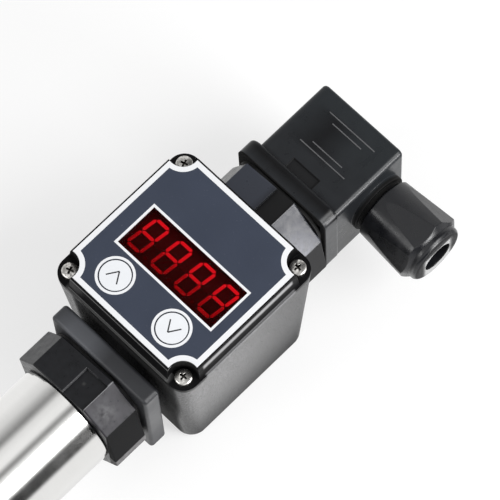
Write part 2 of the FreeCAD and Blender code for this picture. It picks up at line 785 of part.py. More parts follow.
def display_case():
    """Tapered box, open to the front, with screw pillars and a bossed hole below and above."""
    outer = taper("case_outer", S.case_width, parting_y, case_back, back_y)
    round_edges(outer, S.case_corner, crosswise)
    round_edges(outer, S.case_round, at_depth(back_y))
    lift_to_case(outer)
    inner = taper("case_inner", S.case_width - 2 * S.case_wall, parting_y,
                 case_back - 2 * S.case_wall, back_y - S.case_wall)
    lift_to_case(inner)
    pillar_end = parting_y + S.pillar_length
    pillars = common("case_pillars", outer, group("case_pillar_rods", corner_rods(
        "case_pillar", S.pillar_d / 2, parting_y, pillar_end)))
    boss_r = S.boss_d / 2
    low_boss = rod("case_low_boss", boss_r, collar_top, socket_nut_low)
    top_boss = rod("case_top_boss", boss_r, case_mid + inner_reach, upper_low)
    solid = fuse("case_solid", cut("case_box", outer, inner), pillars, low_boss, top_boss)
    low_hole = rod("case_low_hole", neck_hole_d / 2, collar_top, socket_nut_low)
    top_hole = rod("case_top_hole", neck_hole_d / 2, case_mid + inner_reach, upper_low)
    spot_face = rod("case_spot_face", S.spot_d / 2, upper_low, upper_low + 2 * S.spot_depth)
    screw_end = ledge_y + S.lid_screw_length + S.fit_gap
    pilots = corner_rods("case_pilot", S.lid_screw_d / 2 + S.screw_slack, parting_y, screw_end)
    rebate = panel("case_rebate", lid_seal_loops(S.screw_slack), parting_y, parting_y + S.lid_seal_depth)
    lift_to_case(rebate)
    return cut("display_case", solid, low_hole, top_hole, spot_face, rebate, *pilots)


def lid_gasket():
    """Seal between the lid and the case's mouth."""
    seal = panel("lid_gasket", lid_seal_loops(dim(0)), parting_y, parting_y + S.lid_seal_depth)
    return lift_to_case(seal)


def window_bounds(grow):
    """Across and up bounds of the window, grown on each side, about the case's middle."""
    return (span(S.window_x, S.window_width + 2 * grow), span(S.window_z, S.window_height + 2 * grow))


def button_spots():
    """Places of the two buttons in the display's plane."""
    left = S.button_shift - S.button_x
    right = S.button_shift + S.button_x
    return {"up": (left, button_z), "down": (right, button_z)}


def button_holes(name, start, end):
    """Round holes for both buttons."""
    radius = button_hole_d / 2
    return [rod(f"{name}_{side}", radius, start, end, spot, "Y") for side, spot in button_spots().items()]


def display_lid():
    """Front cover: drafted raised front, notched at the screws, on a thin rim; hollow behind."""
    plateau = taper("lid_plateau", plateau_front, film_back, plateau_foot, ledge_y)
    round_edges(plateau, S.plateau_corner, crosswise)
    round_edges(plateau, S.plateau_round, at_depth(film_back))
    lift_to_case(plateau)
    rim = panel("lid_rim", [square(S.case_width)], ledge_y, parting_y)
    round_edges(rim, S.case_corner, crosswise)
    lift_to_case(rim)
    notches = corner_rods("lid_notch", S.notch_r, face_y, ledge_y, notch_at)
    hollow_width = plateau_front - 2 * S.lid_wall
    hollow = lift_to_case(panel("lid_hollow_square", [square(hollow_width)], lid_inner, parting_y))
    posts = corner_rods("lid_post", S.notch_r + S.notch_wall, lid_inner, parting_y, notch_at)
    cavity = cut("lid_hollow", hollow, *posts)
    frame = rectangle(*window_bounds(S.pane_gap))
    window = lift_to_case(panel("lid_window", [frame], film_back, lid_inner))
    screw_holes = corner_rods("lid_screw_hole", S.lid_screw_d / 2 + S.screw_way, ledge_y, parting_y)
    holes = button_holes("lid_button_hole", film_back, lid_inner)
    solid = fuse("lid_solid", plateau, rim)
    return cut("display_lid", solid, *notches, cavity, window, *screw_holes, *holes)


def lid_screws():
    """Four round-head screws."""
    head_r = S.lid_head_d / 2
    shank_r = S.lid_screw_d / 2
    screws = []
    for i, (x, z) in enumerate(CORNERS):
        screw = turned(f"lid_screw{i}", [
            (0, -S.lid_screw_length),
            (shank_r, -S.lid_screw_length),
            (shank_r, 0),
            (head_r, 0),
            (head_r, S.lid_head),
            (0, S.lid_head),
        ])
        top_edge = at_height(S.lid_head)
        round_edges(screw, S.lid_head_round, lambda edge: top_edge(edge) and edge.isClosed())
        place(screw, (x * lid_screw_at, ledge_y, case_mid + z * lid_screw_at), AXIS_TURNS["-Y"])
        screws.append(screw)
    return group("lid_screws", screws)


def front_overlay():
    """Printed film with notched corners, a window and two button holes."""
    sheet = lift_to_case(panel("overlay_sheet", [square(film_width)], face_y, film_back))
    notches = corner_rods("overlay_notch", S.film_notch_r, face_y, film_back, notch_at)
    frame = rectangle(*window_bounds(S.pane_gap))
    window = lift_to_case(panel("overlay_window", [frame], face_y, film_back))
    holes = button_holes("overlay_button", face_y, film_back)
    return cut("front_overlay", sheet, *notches, window, *holes)


def window_pane():
    """Stepped pane, flush in the overlay, its lip against the lid's inner face."""
    front = lift_to_case(panel("pane_front", [rectangle(*window_bounds(dim(0)))], face_y, lid_inner))
    lip = lift_to_case(panel("pane_lip", [rectangle(*window_bounds(S.pane_lip))], lid_inner, pane_back))
    return fuse("window_pane", front, lip)


def bar_loop(start, end, across):
    """Pointed bar between two nodes of a leaning digit; across is its width's direction."""
    along = (across[1], across[0])
    half = S.bar_width / 2
    tips = []
    for node, way in ((start, 1), (end, -1)):
        tips.append([node[axis] + way * along[axis] * S.bar_gap for axis in (0, 1)])
    (u0, v0), (u1, v1) = tips
    points = [(u0, v0)]
    for side in (1, -1):
        shift = (side * across[0] * half, side * across[1] * half)
        near = (u0 + along[0] * half + shift[0], v0 + along[1] * half + shift[1])
        far = (u1 - along[0] * half + shift[0], v1 - along[1] * half + shift[1])
        points += [near, far, (u1, v1)] if side == 1 else [far, near]
    lean = math.tan(math.radians(S.digit_slant.value))
    return [(u + lean * v, v) for u, v in points]


def led_digits():
    """Digit module with seven lit bars and a point for each of four digits."""
    across = S.digit_width / 2 - S.bar_width / 2
    rise = S.digit_height / 2 - S.bar_width / 2
    level = dim(0)
    nodes = {(i, j): (i * across, level + j * rise) for i in (-1, 1) for j in (-1, 0, 1)}
    bars = [bar_loop(nodes[-1, j], nodes[1, j], (0, 1)) for j in (-1, 0, 1)]
    bars += [bar_loop(nodes[i, j], nodes[i, j + 1], (1, 0)) for i in (-1, 1) for j in (-1, 0)]
    bar_back = pane_back + S.bar_depth
    lit = []
    for i in range(4):
        middle = S.led_x + (i - 1.5) * S.digit_pitch
        digit = panel(f"digit{i}", bars, pane_back, bar_back)
        place(digit, (middle, 0, led_z))
        dot_at = (middle + S.digit_pitch / 2 - S.bar_width / 2, led_z - rise)
        lit += [digit, rod(f"digit_dot{i}", S.dot_d / 2, pane_back, bar_back, dot_at, "Y")]
    segments = group("led_segments", lit)
    body_z = span(led_z, S.led_height)
    body = block("led_body", span(S.led_x, S.led_width), (pane_back, panel_front), body_z)
    return [cut("led_module", body, segments), segments]


def display_board():
    """Board behind the digits, cut away at the screw pillars, with two chips on its back."""
    sheet_z = span(case_mid, S.panel_height)
    sheet = block("panel_sheet", span(dim(0), S.panel_width), (panel_front, panel_back), sheet_z)
    ways = corner_rods("panel_way", S.pillar_d / 2 + S.run_gap, panel_front, panel_back)
    chips = []
    shares = [(-0.24, 0.18, 0.22, 0.24), (0.22, 0.12, 0.27, 0.15)]
    depth = (panel_back, panel_back + S.board_thick)
    for i, (x, z, width, height) in enumerate(shares):
        spot_x = span(x * S.panel_width, width * S.panel_width)
        spot_z = span(case_mid + z * S.panel_height, height * S.panel_height)
        chips.append(block(f"panel_chip{i}", spot_x, depth, spot_z))
    return [cut("display_board", sheet, *ways), group("display_chips", chips)]


def press_button(side, spot):
    """Button disc with its stem, the switch's plunger under it, and the switch on the board."""
    disc_back = face_y + S.button_thick
    disc = rod(f"{side}_disc", S.button_d / 2, face_y, disc_back, spot, "Y")
    stem = rod(f"{side}_stem", S.stem_d / 2, disc_back, plunger_front, spot, "Y")
    sunk = switch_front + S.plunger_sunk
    plunger = rod(f"{side}_plunger", S.stem_d / 2, plunger_front, sunk, spot, "Y")
    width = S.switch_width
    depth = (switch_front, panel_front)
    shell = block(f"{side}_switch_body", span(spot[0], width), depth, span(spot[1], width))
    floor = sunk + S.press_travel + S.run_gap
    well = rod(f"{side}_switch_well", S.stem_d / 2 + S.fit_gap, switch_front, floor, spot, "Y")
    return [fuse(f"{side}_button", disc, stem), plunger, cut(f"{side}_switch", shell, well)]


def loop_wires():
    """Four wires from the socket's contacts up to the tails of the upper pins."""
    start = collar_low + S.contact_lift + S.contact_length
    end = upper_top + pin_low
    wires = []
    for i, (x, y) in enumerate(PIN_SPOTS):
        wires.append(rod(f"loop_wire{i}", S.wire_d / 2, start, end, (x * S.pin_pitch, y * S.pin_pitch)))
    return group("loop_wires", wires)


# Plug

def on_gland(body, turn=0):
    """Put a piece that is turned about X on the gland's axis."""
    place(body, (0, 0, gland_z), Rotation(Vector(1, 0, 0), dim(turn).value))
    return body


def plug_shell():
    """Right-angle housing: square foot, block set towards the gland, gland spigot, screw well."""
    flange_top = plug_low + S.plug_flange_height
    foot_width = S.base_af - 2 * S.flange_inset
    foot = prism("plug_foot", [square(foot_width)], plug_low, flange_top)
    round_edges(foot, S.plug_flange_corner, upright)
    round_edges(foot, S.plug_round, at_height(flange_top))
    sides = ((-S.plug_left, S.plug_right), (-S.plug_half, S.plug_half))
    tower = prism("plug_tower", [rectangle(*sides)], plug_low, plug_top)
    round_edges(tower, S.plug_corner, upright)
    round_edges(tower, S.plug_round, at_height(plug_top))
    mark = tower.newObject("PartDesign::Pocket", "plug_mark")
    field = rectangle(span(S.mark_x, S.mark_width), span(plug_low + S.mark_rise, S.mark_height))
    mark.Profile = outline(tower, "plug_mark_outline", "XZ_Plane", [field], S.plug_half)
    bind(mark, Length=S.mark_depth)
    thread_r = S.gland_d / 2
    ring_end = S.plug_right + S.gland_ring_width
    root = S.plug_right - S.plug_wall
    spigot = turned("plug_gland", [
        (root, 0),
        (root, S.gland_ring_d / 2),
        (ring_end, S.gland_ring_d / 2),
        (ring_end, thread_r),
        (gland_mouth - S.nut_break, thread_r),
        (gland_mouth, thread_r - S.nut_break),
        (gland_mouth, 0),
    ], "H_Axis")
    on_gland(spigot)
    room_x = (S.plug_wall - S.plug_left, S.plug_right - S.plug_wall)
    room_y = (S.plug_wall - S.plug_half, S.plug_half - S.plug_wall)
    room = block("plug_room", room_x, room_y, (plug_low, plug_top - S.plug_roof))
    seat_x = S.plug_right + S.gland_step
    seat = rod("plug_grommet_seat", S.gland_bore / 2, seat_x, gland_mouth, (0, gland_z), "X")
    throat = rod("plug_throat", S.gland_throat / 2, root, seat_x, (0, gland_z), "X")
    well = rod("plug_head_well", S.head_well_d / 2, plug_top - S.head_well, plug_top)
    way = rod("plug_screw_way", S.screw_d / 2 + S.screw_way, plug_top - S.plug_roof, plug_top)
    solid = fuse("plug_solid", foot, tower, spigot)
    return cut("plug_shell", solid, room, seat, throat, well, way)


def plug_inside():
    """Contact carrier in the housing, its contacts and their terminal screws."""
    half_x = S.plug_left - S.plug_wall - S.fit_gap
    half_y = S.plug_half - S.plug_wall - S.fit_gap
    top = plug_low + S.carrier_height
    body = block("carrier_body", (-half_x, half_x), (-half_y, half_y), (plug_low, top))
    pockets = contact_boxes("carrier_pocket", plug_low, top, pocket_size)
    way = rod("carrier_screw_way", S.screw_d / 2 + S.screw_way, plug_low, top)
    seat = plug_low + S.contact_lift + S.contact_length
    screws = []
    for i, (x, y) in enumerate(PIN_SPOTS):
        at = (x * S.pin_pitch, y * S.pin_pitch)
        screws.append(rod(f"terminal_screw{i}", S.terminal_d / 2, seat, seat + S.terminal_height, at))
    carrier = cut("plug_insert", body, *pockets, way)
    return [carrier, contacts("plug_contacts", plug_low), group("terminal_screws", screws)]


def plug_fastening():
    """Long screw through the plug into the upper base, on a soft washer."""
    floor = plug_top - S.head_well
    seat = floor + S.washer_thick
    hole = S.screw_d + 2 * S.screw_slack
    washer = ring("screw_seal", S.washer_d, hole, floor, seat)
    return [connector_screw("plug_screw", upper_top - S.insert_length, seat), washer]


def gland_nut():
    """Flared nut with six leaning flats that run out towards the plug, and a rounded end ring."""
    thread_r = S.gland_d / 2 + S.nut_thread_slack
    wide = nut_start + S.nut_body
    end = wide + S.nut_end
    mouth_r = S.nut_mouth_d / 2
    wide_r = S.nut_wide_d / 2
    end_r = S.nut_end_d / 2
    nut = turned("gland_nut", [
        (nut_start, thread_r),
        (nut_start, mouth_r - S.nut_break),
        (nut_start + S.nut_break, mouth_r),
        (wide - S.nut_chamfer, wide_r),
        (wide, wide_r - S.nut_chamfer),
        (wide, end_r),
        (end, end_r),
        (end, S.nut_opening / 2),
        (nut_shoulder, S.nut_opening / 2),
        (nut_shoulder, thread_r),
    ], "H_Axis")
    round_edges(nut, S.nut_end_round, lambda edge: edge.isClosed() and is_end_edge(edge, end, end_r))
    flat = nut.newObject("PartDesign::Pocket", "nut_flat")
    clear_r = S.nut_wide_d
    leaning = [
        (nut_start, S.flat_inner / 2),
        (wide, S.flat_outer / 2),
        (wide, clear_r),
        (nut_start, clear_r),
    ]
    flat.Profile = outline(nut, "nut_flat_outline", "XZ_Plane", [leaning])
    flat.SideType = "Symmetric"
    bind(flat, Length=S.nut_wide_d)
    flats = nut.newObject("PartDesign::PolarPattern", "nut_flats")
    flats.Originals = [flat]
    flats.Axis = (flat.Profile[0], ["H_Axis"])
    flats.Angle = 360
    flats.Occurrences = 6
    nut.Tip = flats
    on_gland(nut, S.nut_turn)
    nut.setExpression("Placement.Rotation.Angle", S.nut_turn.text)
    return nut


def is_end_edge(edge, level, radius):
    """True for the circle of a radius at a level along X."""
    spots = [vertex.Point for vertex in edge.Vertexes]
    far = [abs(p.x - level.value) + abs(math.hypot(p.y, p.z) - radius.value) for p in spots]
    return max(far) < 1e-6


def gland_inside():
    """Soft grommet in the gland's mouth, and the pressure ring in front of it."""
    start = S.plug_right + S.gland_step
    end = gland_mouth + S.grommet_proud
    at = (dim(0), gland_z)
    grommet = ring("gland_grommet", S.gland_bore - 2 * S.fit_gap, S.grommet_hole, start, end, at, "X")
    ring_end = press_ring_start + S.press_ring_thick
    washer = ring("gland_ring", S.press_ring_od, S.press_ring_id, press_ring_start, ring_end, at, "X")
    return [grommet, washer]


def tube_oring():
    """Seal in the lower base's groove."""
    obj = doc.addObject("Part::Torus", "tube_oring")
    bind(obj, Radius1=neck_d / 2 - S.seal_section / 2, Radius2=S.seal_section / 2)
    place(obj, (0, 0, tube_top - S.seal_drop))
    return obj


def build():
    """Every sub-part of the transmitter, in order from the probe to the gland."""
    made = [process_fitting(), probe_sheath(), *sensor(), housing_tube(), *converter(), tube_oring()]
    for name, low in (("lower", tube_top), ("upper", upper_low)):
        top = low + S.base_height
        blades = pins(f"{name}_pins", top)
        made += [connector_base(f"{name}_base", low, blades, name == "upper"), blades]
        made += [insert(f"{name}_insert", top)]
    made += [flat_seal("lower_gasket", lower_top), socket_shell()]
    made += [contacts("socket_contacts", collar_low)]
    made += [ring_nut("socket_nut", socket_nut_low)]
    made += [connector_screw("case_screw", lower_top - S.insert_length, socket_top)]
    made += [display_case(), lid_gasket(), display_lid(), lid_screws(), front_overlay(), window_pane()]
    made += [*led_digits(), *display_board(), loop_wires()]
    for side, spot in button_spots().items():
        made += press_button(side, spot)
    made += [ring_nut("upper_base_nut", case_mid + inner_reach - S.nut_thick)]
    made += [flat_seal("plug_gasket", upper_top)]
    made += [plug_shell(), *plug_inside(), *plug_fastening(), gland_nut(), *gland_inside()]
    return made


def write(parts):
    """Check the whole document, then write one file for each sub-part."""
    doc.recompute()
    broken = [obj.Label for obj in doc.Objects if {"Invalid", "Error"} & set(obj.State)]
    if broken:
        raise RuntimeError(f"failed objects: {broken}")
    bad = [part.Label for part in parts if part.Shape.isNull() or not part.Shape.isValid()]
    if bad:
        raise RuntimeError(f"shapes that are empty or not valid: {bad}")
    os.makedirs("parts", exist_ok=True)
    for part in parts:
        part.Shape.exportStep(f"parts/{part.Label}.step")
        print(f"{part.Label}: {len(part.Shape.Solids)} solid(s), {part.Shape.Volume:.1f} mm3")


write(build())
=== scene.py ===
"""Looks of a screw-in temperature transmitter with a plug-in display head and a right-angle cable plug.

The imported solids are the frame. This script dresses them: it gives every solid a finish, prints the front
film, lights the digits, and replaces the lid screws and the process fitting with meshes that have a real
cross recess and a real thread. Lengths are in millimetres in the class fields and in metres in Blender.
"""

from __future__ import annotations

import logging
import math
from dataclasses import dataclass
from enum import Enum
from functools import reduce
from typing import Any, Iterable, Sequence

import bmesh
import bpy
from mathutils import Euler, Matrix, Vector

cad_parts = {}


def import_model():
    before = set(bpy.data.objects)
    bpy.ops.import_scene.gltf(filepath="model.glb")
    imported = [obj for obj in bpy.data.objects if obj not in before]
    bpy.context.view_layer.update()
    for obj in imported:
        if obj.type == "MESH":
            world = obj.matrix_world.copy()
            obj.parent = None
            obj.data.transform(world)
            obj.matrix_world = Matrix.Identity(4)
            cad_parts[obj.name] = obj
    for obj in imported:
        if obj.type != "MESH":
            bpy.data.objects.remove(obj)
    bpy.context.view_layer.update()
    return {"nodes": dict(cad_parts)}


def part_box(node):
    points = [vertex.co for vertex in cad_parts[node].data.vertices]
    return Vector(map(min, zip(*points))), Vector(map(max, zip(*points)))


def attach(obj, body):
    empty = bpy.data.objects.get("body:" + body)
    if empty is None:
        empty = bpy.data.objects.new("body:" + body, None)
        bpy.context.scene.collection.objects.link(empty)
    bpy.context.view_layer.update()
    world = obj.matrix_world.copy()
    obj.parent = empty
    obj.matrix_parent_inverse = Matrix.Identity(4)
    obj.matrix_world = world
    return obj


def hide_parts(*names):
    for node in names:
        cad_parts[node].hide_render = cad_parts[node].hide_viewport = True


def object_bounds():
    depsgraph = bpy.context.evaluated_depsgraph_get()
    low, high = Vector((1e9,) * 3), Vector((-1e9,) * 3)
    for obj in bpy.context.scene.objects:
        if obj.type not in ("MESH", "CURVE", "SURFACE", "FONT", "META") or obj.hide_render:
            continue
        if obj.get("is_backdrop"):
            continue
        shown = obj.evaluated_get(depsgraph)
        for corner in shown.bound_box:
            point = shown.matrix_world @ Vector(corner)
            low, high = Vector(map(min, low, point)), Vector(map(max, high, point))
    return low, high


LOG = logging.getLogger("transmitter")
MM = 0.001
ROOT_BODY = "transmitter"
# Stands for a side of a patch that has no limit
OPEN = 999.0
# Noise lies about 0.5; these are the parts of its range that finishes spread out
WIDE = (0.3, 0.7)
MIDDLE = (0.35, 0.65)
NARROW = (0.38, 0.62)
# Rays that round an edge, and distances in metres at which points become one
EDGE_SAMPLES = 6
SAME_POINT = 1e-7
WELD = 1e-6

Color = tuple[float, float, float]
Point = tuple[float, float, float]
Spot = tuple[float, float]
Stops = tuple[Spot, ...]
Inputs = dict[str | int, Any]
Material = bpy.types.Material
Node = bpy.types.Node
Shape = bmesh.types.BMesh
Socket = bpy.types.NodeSocket
Thing = bpy.types.Object


# Node trees

class Graph:
    """Adds nodes and links to one node tree."""

    def __init__(self, tree: bpy.types.NodeTree) -> None:
        """Keep the tree to build in."""
        self.tree = tree

    def add(self, kind: str, inputs: Inputs | None = None, **settings: Any) -> Node:
        """Add one node.

        Args:
            kind: The node's type name.
            inputs: As for fill().
            settings: Properties of the node itself.

        Returns:
            The new node.
        """
        node = self.tree.nodes.new(kind)
        for name, value in settings.items():
            setattr(node, name, value)
        self.fill(node, inputs or {})
        return node

    def fill(self, node: Node, inputs: Inputs) -> None:
        """Link a node's inputs, or set their constants.

        Args:
            node: The node.
            inputs: Socket name or index to a constant, a socket, or a node whose first output feeds it.
        """
        for key, value in inputs.items():
            source = value.outputs[0] if isinstance(value, Node) else value
            if isinstance(source, Socket):
                self.tree.links.new(source, node.inputs[key])
            else:
                node.inputs[key].default_value = source

    def math(self, operation: str, *values: Any) -> Socket:
        """Result of a Math node."""
        return self.add("ShaderNodeMath", dict(enumerate(values)), operation=operation).outputs[0]

    def largest(self, *values: Any) -> Socket:
        """The largest of several values."""
        return reduce(lambda first, second: self.math("MAXIMUM", first, second), values)

    def product(self, *values: Any) -> Socket:
        """Several values multiplied."""
        return reduce(lambda first, second: self.math("MULTIPLY", first, second), values)

    def aside(self, value: Any, middle: float) -> Socket:
        """How far a value is from a middle, either way."""
        return self.math("ABSOLUTE", self.math("SUBTRACT", value, middle))

    def away(self, at: Sequence[Socket], spot: Spot) -> Socket:
        """Distance of a place in a plane from a spot there."""
        x, z = (self.math("SUBTRACT", part, middle) for part, middle in zip(at, spot))
        return self.math("SQRT", self.math("MULTIPLY_ADD", x, x, self.math("MULTIPLY", z, z)))

    def outside(self, at: Sequence[Socket], middle: Spot, size: Spot) -> Socket:
        """How far a place in a plane is outside a box there, below 0 inside."""
        sides = zip(at, middle, size)
        return self.largest(*(self.math("SUBTRACT", self.aside(x, mid), side / 2) for x, mid, side in sides))

    def mix(self, factor: Any, first: Any, second: Any) -> Socket:
        """Blend of two colours: the first where the factor is 0, the second where it is 1."""
        inputs = {0: factor, 6: opaque(first), 7: opaque(second)}
        return self.add("ShaderNodeMix", inputs, data_type="RGBA").outputs[2]

    def span(self, value: Any, low: float, high: float, start: float, end: float) -> Socket:
        """A value mapped from the range low to high onto start to end, and held at the ends."""
        inputs = {0: value, 1: low, 2: high, 3: start, 4: end}
        return self.add("ShaderNodeMapRange", inputs).outputs[0]

    def ramp(self, value: Any, stops: Sequence[Spot]) -> Socket:
        """Grey ramp.

        Args:
            value: 0 to 1 along the ramp.
            stops: Place and brightness of each stop.

        Returns:
            The brightness as a grey colour.
        """
        node = self.add("ShaderNodeValToRGB", {0: value})
        elements = node.color_ramp.elements
        for i, (place, grey) in enumerate(stops):
            stop = elements.new(place) if i else elements[0]
            stop.position = place
            stop.color = (grey, grey, grey, 1)
        elements.remove(elements[len(stops)])
        return node.outputs[0]

    def place_mm(self) -> Socket:
        """Object coordinates in millimetres."""
        source = self.add("ShaderNodeTexCoord").outputs["Object"]
        return self.add("ShaderNodeVectorMath", {0: source, "Scale": 1 / MM}, operation="SCALE").outputs[0]

    def axes_mm(self) -> Sequence[Socket]:
        """Object coordinates in millimetres, one socket for each axis."""
        return self.add("ShaderNodeSeparateXYZ", {0: self.place_mm()}).outputs

    def front_mm(self, middle: Spot) -> list[Socket]:
        """Place to the right of a middle and above it, in millimetres, as the front shows it."""
        axes = self.axes_mm()
        return [self.math("SUBTRACT", axes[i], at) for i, at in zip((0, 2), middle)]

    def noise(self, feature_mm: float, detail: float = 2.0, stretch: Point = (1, 1, 1)) -> Socket:
        """Noise with features of a real size.

        Args:
            feature_mm: The size of a feature.
            detail: Octaves of finer noise.
            stretch: How much finer it is along each axis.

        Returns:
            A value about 0.5.
        """
        where = self.add("ShaderNodeMapping", {"Vector": self.place_mm(), "Scale": stretch})
        inputs = {"Vector": where, "Scale": 1 / feature_mm, "Detail": detail}
        return self.add("ShaderNodeTexNoise", inputs).outputs[0]

    def rounded(self, edge_mm: float) -> Socket:
        """Normal of a surface whose edges are a little round."""
        return self.add("ShaderNodeBevel", {"Radius": edge_mm * MM}, samples=EDGE_SAMPLES).outputs[0]

    def relief(self, height: Socket, strength: float, depth_mm: float, edge_mm: float = 0.0) -> Socket:
        """Normal of a surface with a fine relief.

        Args:
            height: The relief, 0 to 1.
            strength: How much of it shows.
            depth_mm: Its depth.
            edge_mm: Radius of the surface's edges, or 0 to leave them sharp.

        Returns:
            The normal.
        """
        inputs = {"Height": height, "Strength": strength, "Distance": depth_mm * MM}
        if edge_mm:
            inputs["Normal"] = self.rounded(edge_mm)
        return self.add("ShaderNodeBump", inputs).outputs[0]


class ShapeTree(Graph):
    """A geometry node tree with named inputs, which ends in one dressed mesh."""

    def __init__(self, name: str, kinds: dict[str, str]) -> None:
        """Start the tree.

        Args:
            name: The tree's name.
            kinds: Name of each input to its kind of socket; a material comes after them.
        """
        super().__init__(bpy.data.node_groups.new(name, "GeometryNodeTree"))
        for label, kind in {**kinds, "Material": "Material"}.items():
            self.tree.interface.new_socket(label, in_out="INPUT", socket_type="NodeSocket" + kind)
        self.tree.interface.new_socket("Geometry", in_out="OUTPUT", socket_type="NodeSocketGeometry")
        self.given = self.add("NodeGroupInput").outputs

    def close(self, shape: Node) -> None:
        """End the tree in real mesh with its material.

        Args:
            shape: The node that makes the geometry.
        """
        real = self.add("GeometryNodeRealizeInstances", {0: shape})
        dressed = self.add("GeometryNodeSetMaterial", {"Geometry": real, "Material": self.given["Material"]})
        self.add("NodeGroupOutput", {0: dressed})

    def grow(self, name: str, inputs: dict[str, Any]) -> Thing:
        """Run the tree and keep its result as a plain mesh.

        Args:
            name: The new object's name.
            inputs: Value for each named input.

        Returns:
            The new object, with no modifier.
        """
        obj = mesh_object(name, bmesh.new())
        modifier = obj.modifiers.new(name, "NODES")
        modifier.node_group = self.tree
        for socket in self.tree.interface.items_tree:
            if socket.in_out == "INPUT" and socket.name in inputs:
                modifier[socket.identifier] = inputs[socket.name]
        bpy.context.view_layer.update()
        evaluated = obj.evaluated_get(bpy.context.evaluated_depsgraph_get())
        mesh = bpy.data.meshes.new_from_object(evaluated)
        obj.modifiers.clear()
        obj.data = mesh
        return obj


def toned(color: Color, share: float) -> Color:
    """A colour made lighter or darker."""
    return tuple(part * share for part in color)


def opaque(color: Any) -> Any:
    """A colour with alpha where it is a plain triple; anything else as it is."""
    return (*color, 1.0) if isinstance(color, tuple) and len(color) == 3 else color


# Finishes

class Finish:
    """A surface finish that makes its material once."""

    name: str

    def shade(self, graph: Graph, shader: Node) -> None:
        """Set the shader's sockets for this finish."""
        raise NotImplementedError

    def material(self) -> Material:
        """The finish's material, made on first use.

        Returns:
            A material with a Principled shader.
        """
        made = bpy.data.materials.get(self.name)
        if not made:
            made = bpy.data.materials.new(self.name)
            made.use_nodes = True
            self.shade(Graph(made.node_tree), made.node_tree.nodes["Principled BSDF"])
        return made


@dataclass(frozen=True)
class Patch:
    """A box of a moulding with another colour, and maybe another gloss, that fades in over its soft edges."""

    low: Point
    high: Point
    color: Color
    soft: Point = (0.1, 0.1, 0.1)
    roughness: float | None = None
    mottle: float = 0.0

    def mask(self, graph: Graph, slow: Socket) -> Socket:
        """1 inside the box and 0 outside.

        Args:
            graph: The material's nodes.
            slow: The moulding's slow noise, which thins a mottled patch.

        Returns:
            The mask.
        """
        shares = [graph.span(slow, *NARROW, 1.0 - self.mottle, 1.0)]
        for axis, low, high, soft in zip(graph.axes_mm(), self.low, self.high, self.soft):
            if low > -OPEN:
                shares.append(graph.span(axis, low - soft, low + soft, 0.0, 1.0))
            if high < OPEN:
                shares.append(graph.span(axis, high - soft, high + soft, 1.0, 0.0))
        return graph.product(*shares)


@dataclass(frozen=True)
class Moulded(Finish):
    """Moulded plastic or rubber: fine grain, faint blotches and edges that are a little round."""

    name: str
    color: Color
    roughness: float = 0.4
    grain_mm: float = 0.16
    grain: float = 0.12
    relief_mm: float = 0.05
    speckle: float = 0.0
    blotch_mm: float = 3.0
    blotch: float = 0.25
    patchy: float = 0.08
    edge_mm: float = 0.15
    specular: float = 0.5
    patches: tuple[Patch, ...] = ()

    def shade(self, graph: Graph, shader: Node) -> None:
        """Colour and roughness drift with slow noise and change in patches; a fine grain lifts the surface.

        Args:
            graph: The material's nodes.
            shader: Its Principled shader.
        """
        slow = graph.noise(self.blotch_mm, detail=4.0)
        color = graph.mix(slow, toned(self.color, 1 - self.blotch), toned(self.color, 1 + self.blotch))
        rough = graph.span(slow, *WIDE, self.roughness - self.patchy, self.roughness + self.patchy)
        for patch in self.patches:
            mask = patch.mask(graph, slow)
            color = graph.mix(mask, color, patch.color)
            if patch.roughness is not None:
                change = graph.math("SUBTRACT", patch.roughness, rough)
                rough = graph.math("ADD", rough, graph.math("MULTIPLY", mask, change))
        grain = graph.noise(self.grain_mm, detail=3.0)
        if self.speckle:
            share = graph.span(grain, *MIDDLE, 1 - self.speckle, 1 + self.speckle)
            color = graph.add("ShaderNodeVectorMath", {0: color, "Scale": share}, operation="SCALE")
        graph.fill(shader, {
            "Base Color": color,
            "Roughness": rough,
            "Specular IOR Level": self.specular,
            "Normal": graph.relief(grain, self.grain, self.relief_mm, self.edge_mm),
        })


@dataclass(frozen=True)
class TurnedSteel(Finish):
    """Steel with fine lines left round its axis by the lathe or the brush."""

    name: str
    color: Color
    roughness: float = 0.28
    line_mm: float = 0.09
    line_stretch: Point = (0.02, 0.02, 1.0)
    line: float = 0.10
    line_depth_mm: float = 0.02
    cloud_mm: float = 6.0
    cloud: float = 0.4
    dark: float = 0.86
    smear: float = 0.06
    edge_mm: float = 0.12

    def shade(self, graph: Graph, shader: Node) -> None:
        """Lines across Z and clouds vary the tone and the roughness, and the lines lift the surface.

        Args:
            graph: The material's nodes.
            shader: Its Principled shader.
        """
        lines = graph.noise(self.line_mm, detail=3.0, stretch=self.line_stretch)
        clouds = graph.noise(self.cloud_mm, detail=3.0)
        tone = graph.math("MULTIPLY_ADD", clouds, self.cloud, graph.math("MULTIPLY", lines, 1 - self.cloud))
        graph.fill(shader, {
            "Base Color": graph.mix(tone, toned(self.color, self.dark), self.color),
            "Metallic": 1.0,
            "Roughness": graph.span(tone, *WIDE, self.roughness - self.smear, self.roughness + self.smear),
            "Normal": graph.relief(lines, self.line, self.line_depth_mm, self.edge_mm),
        })


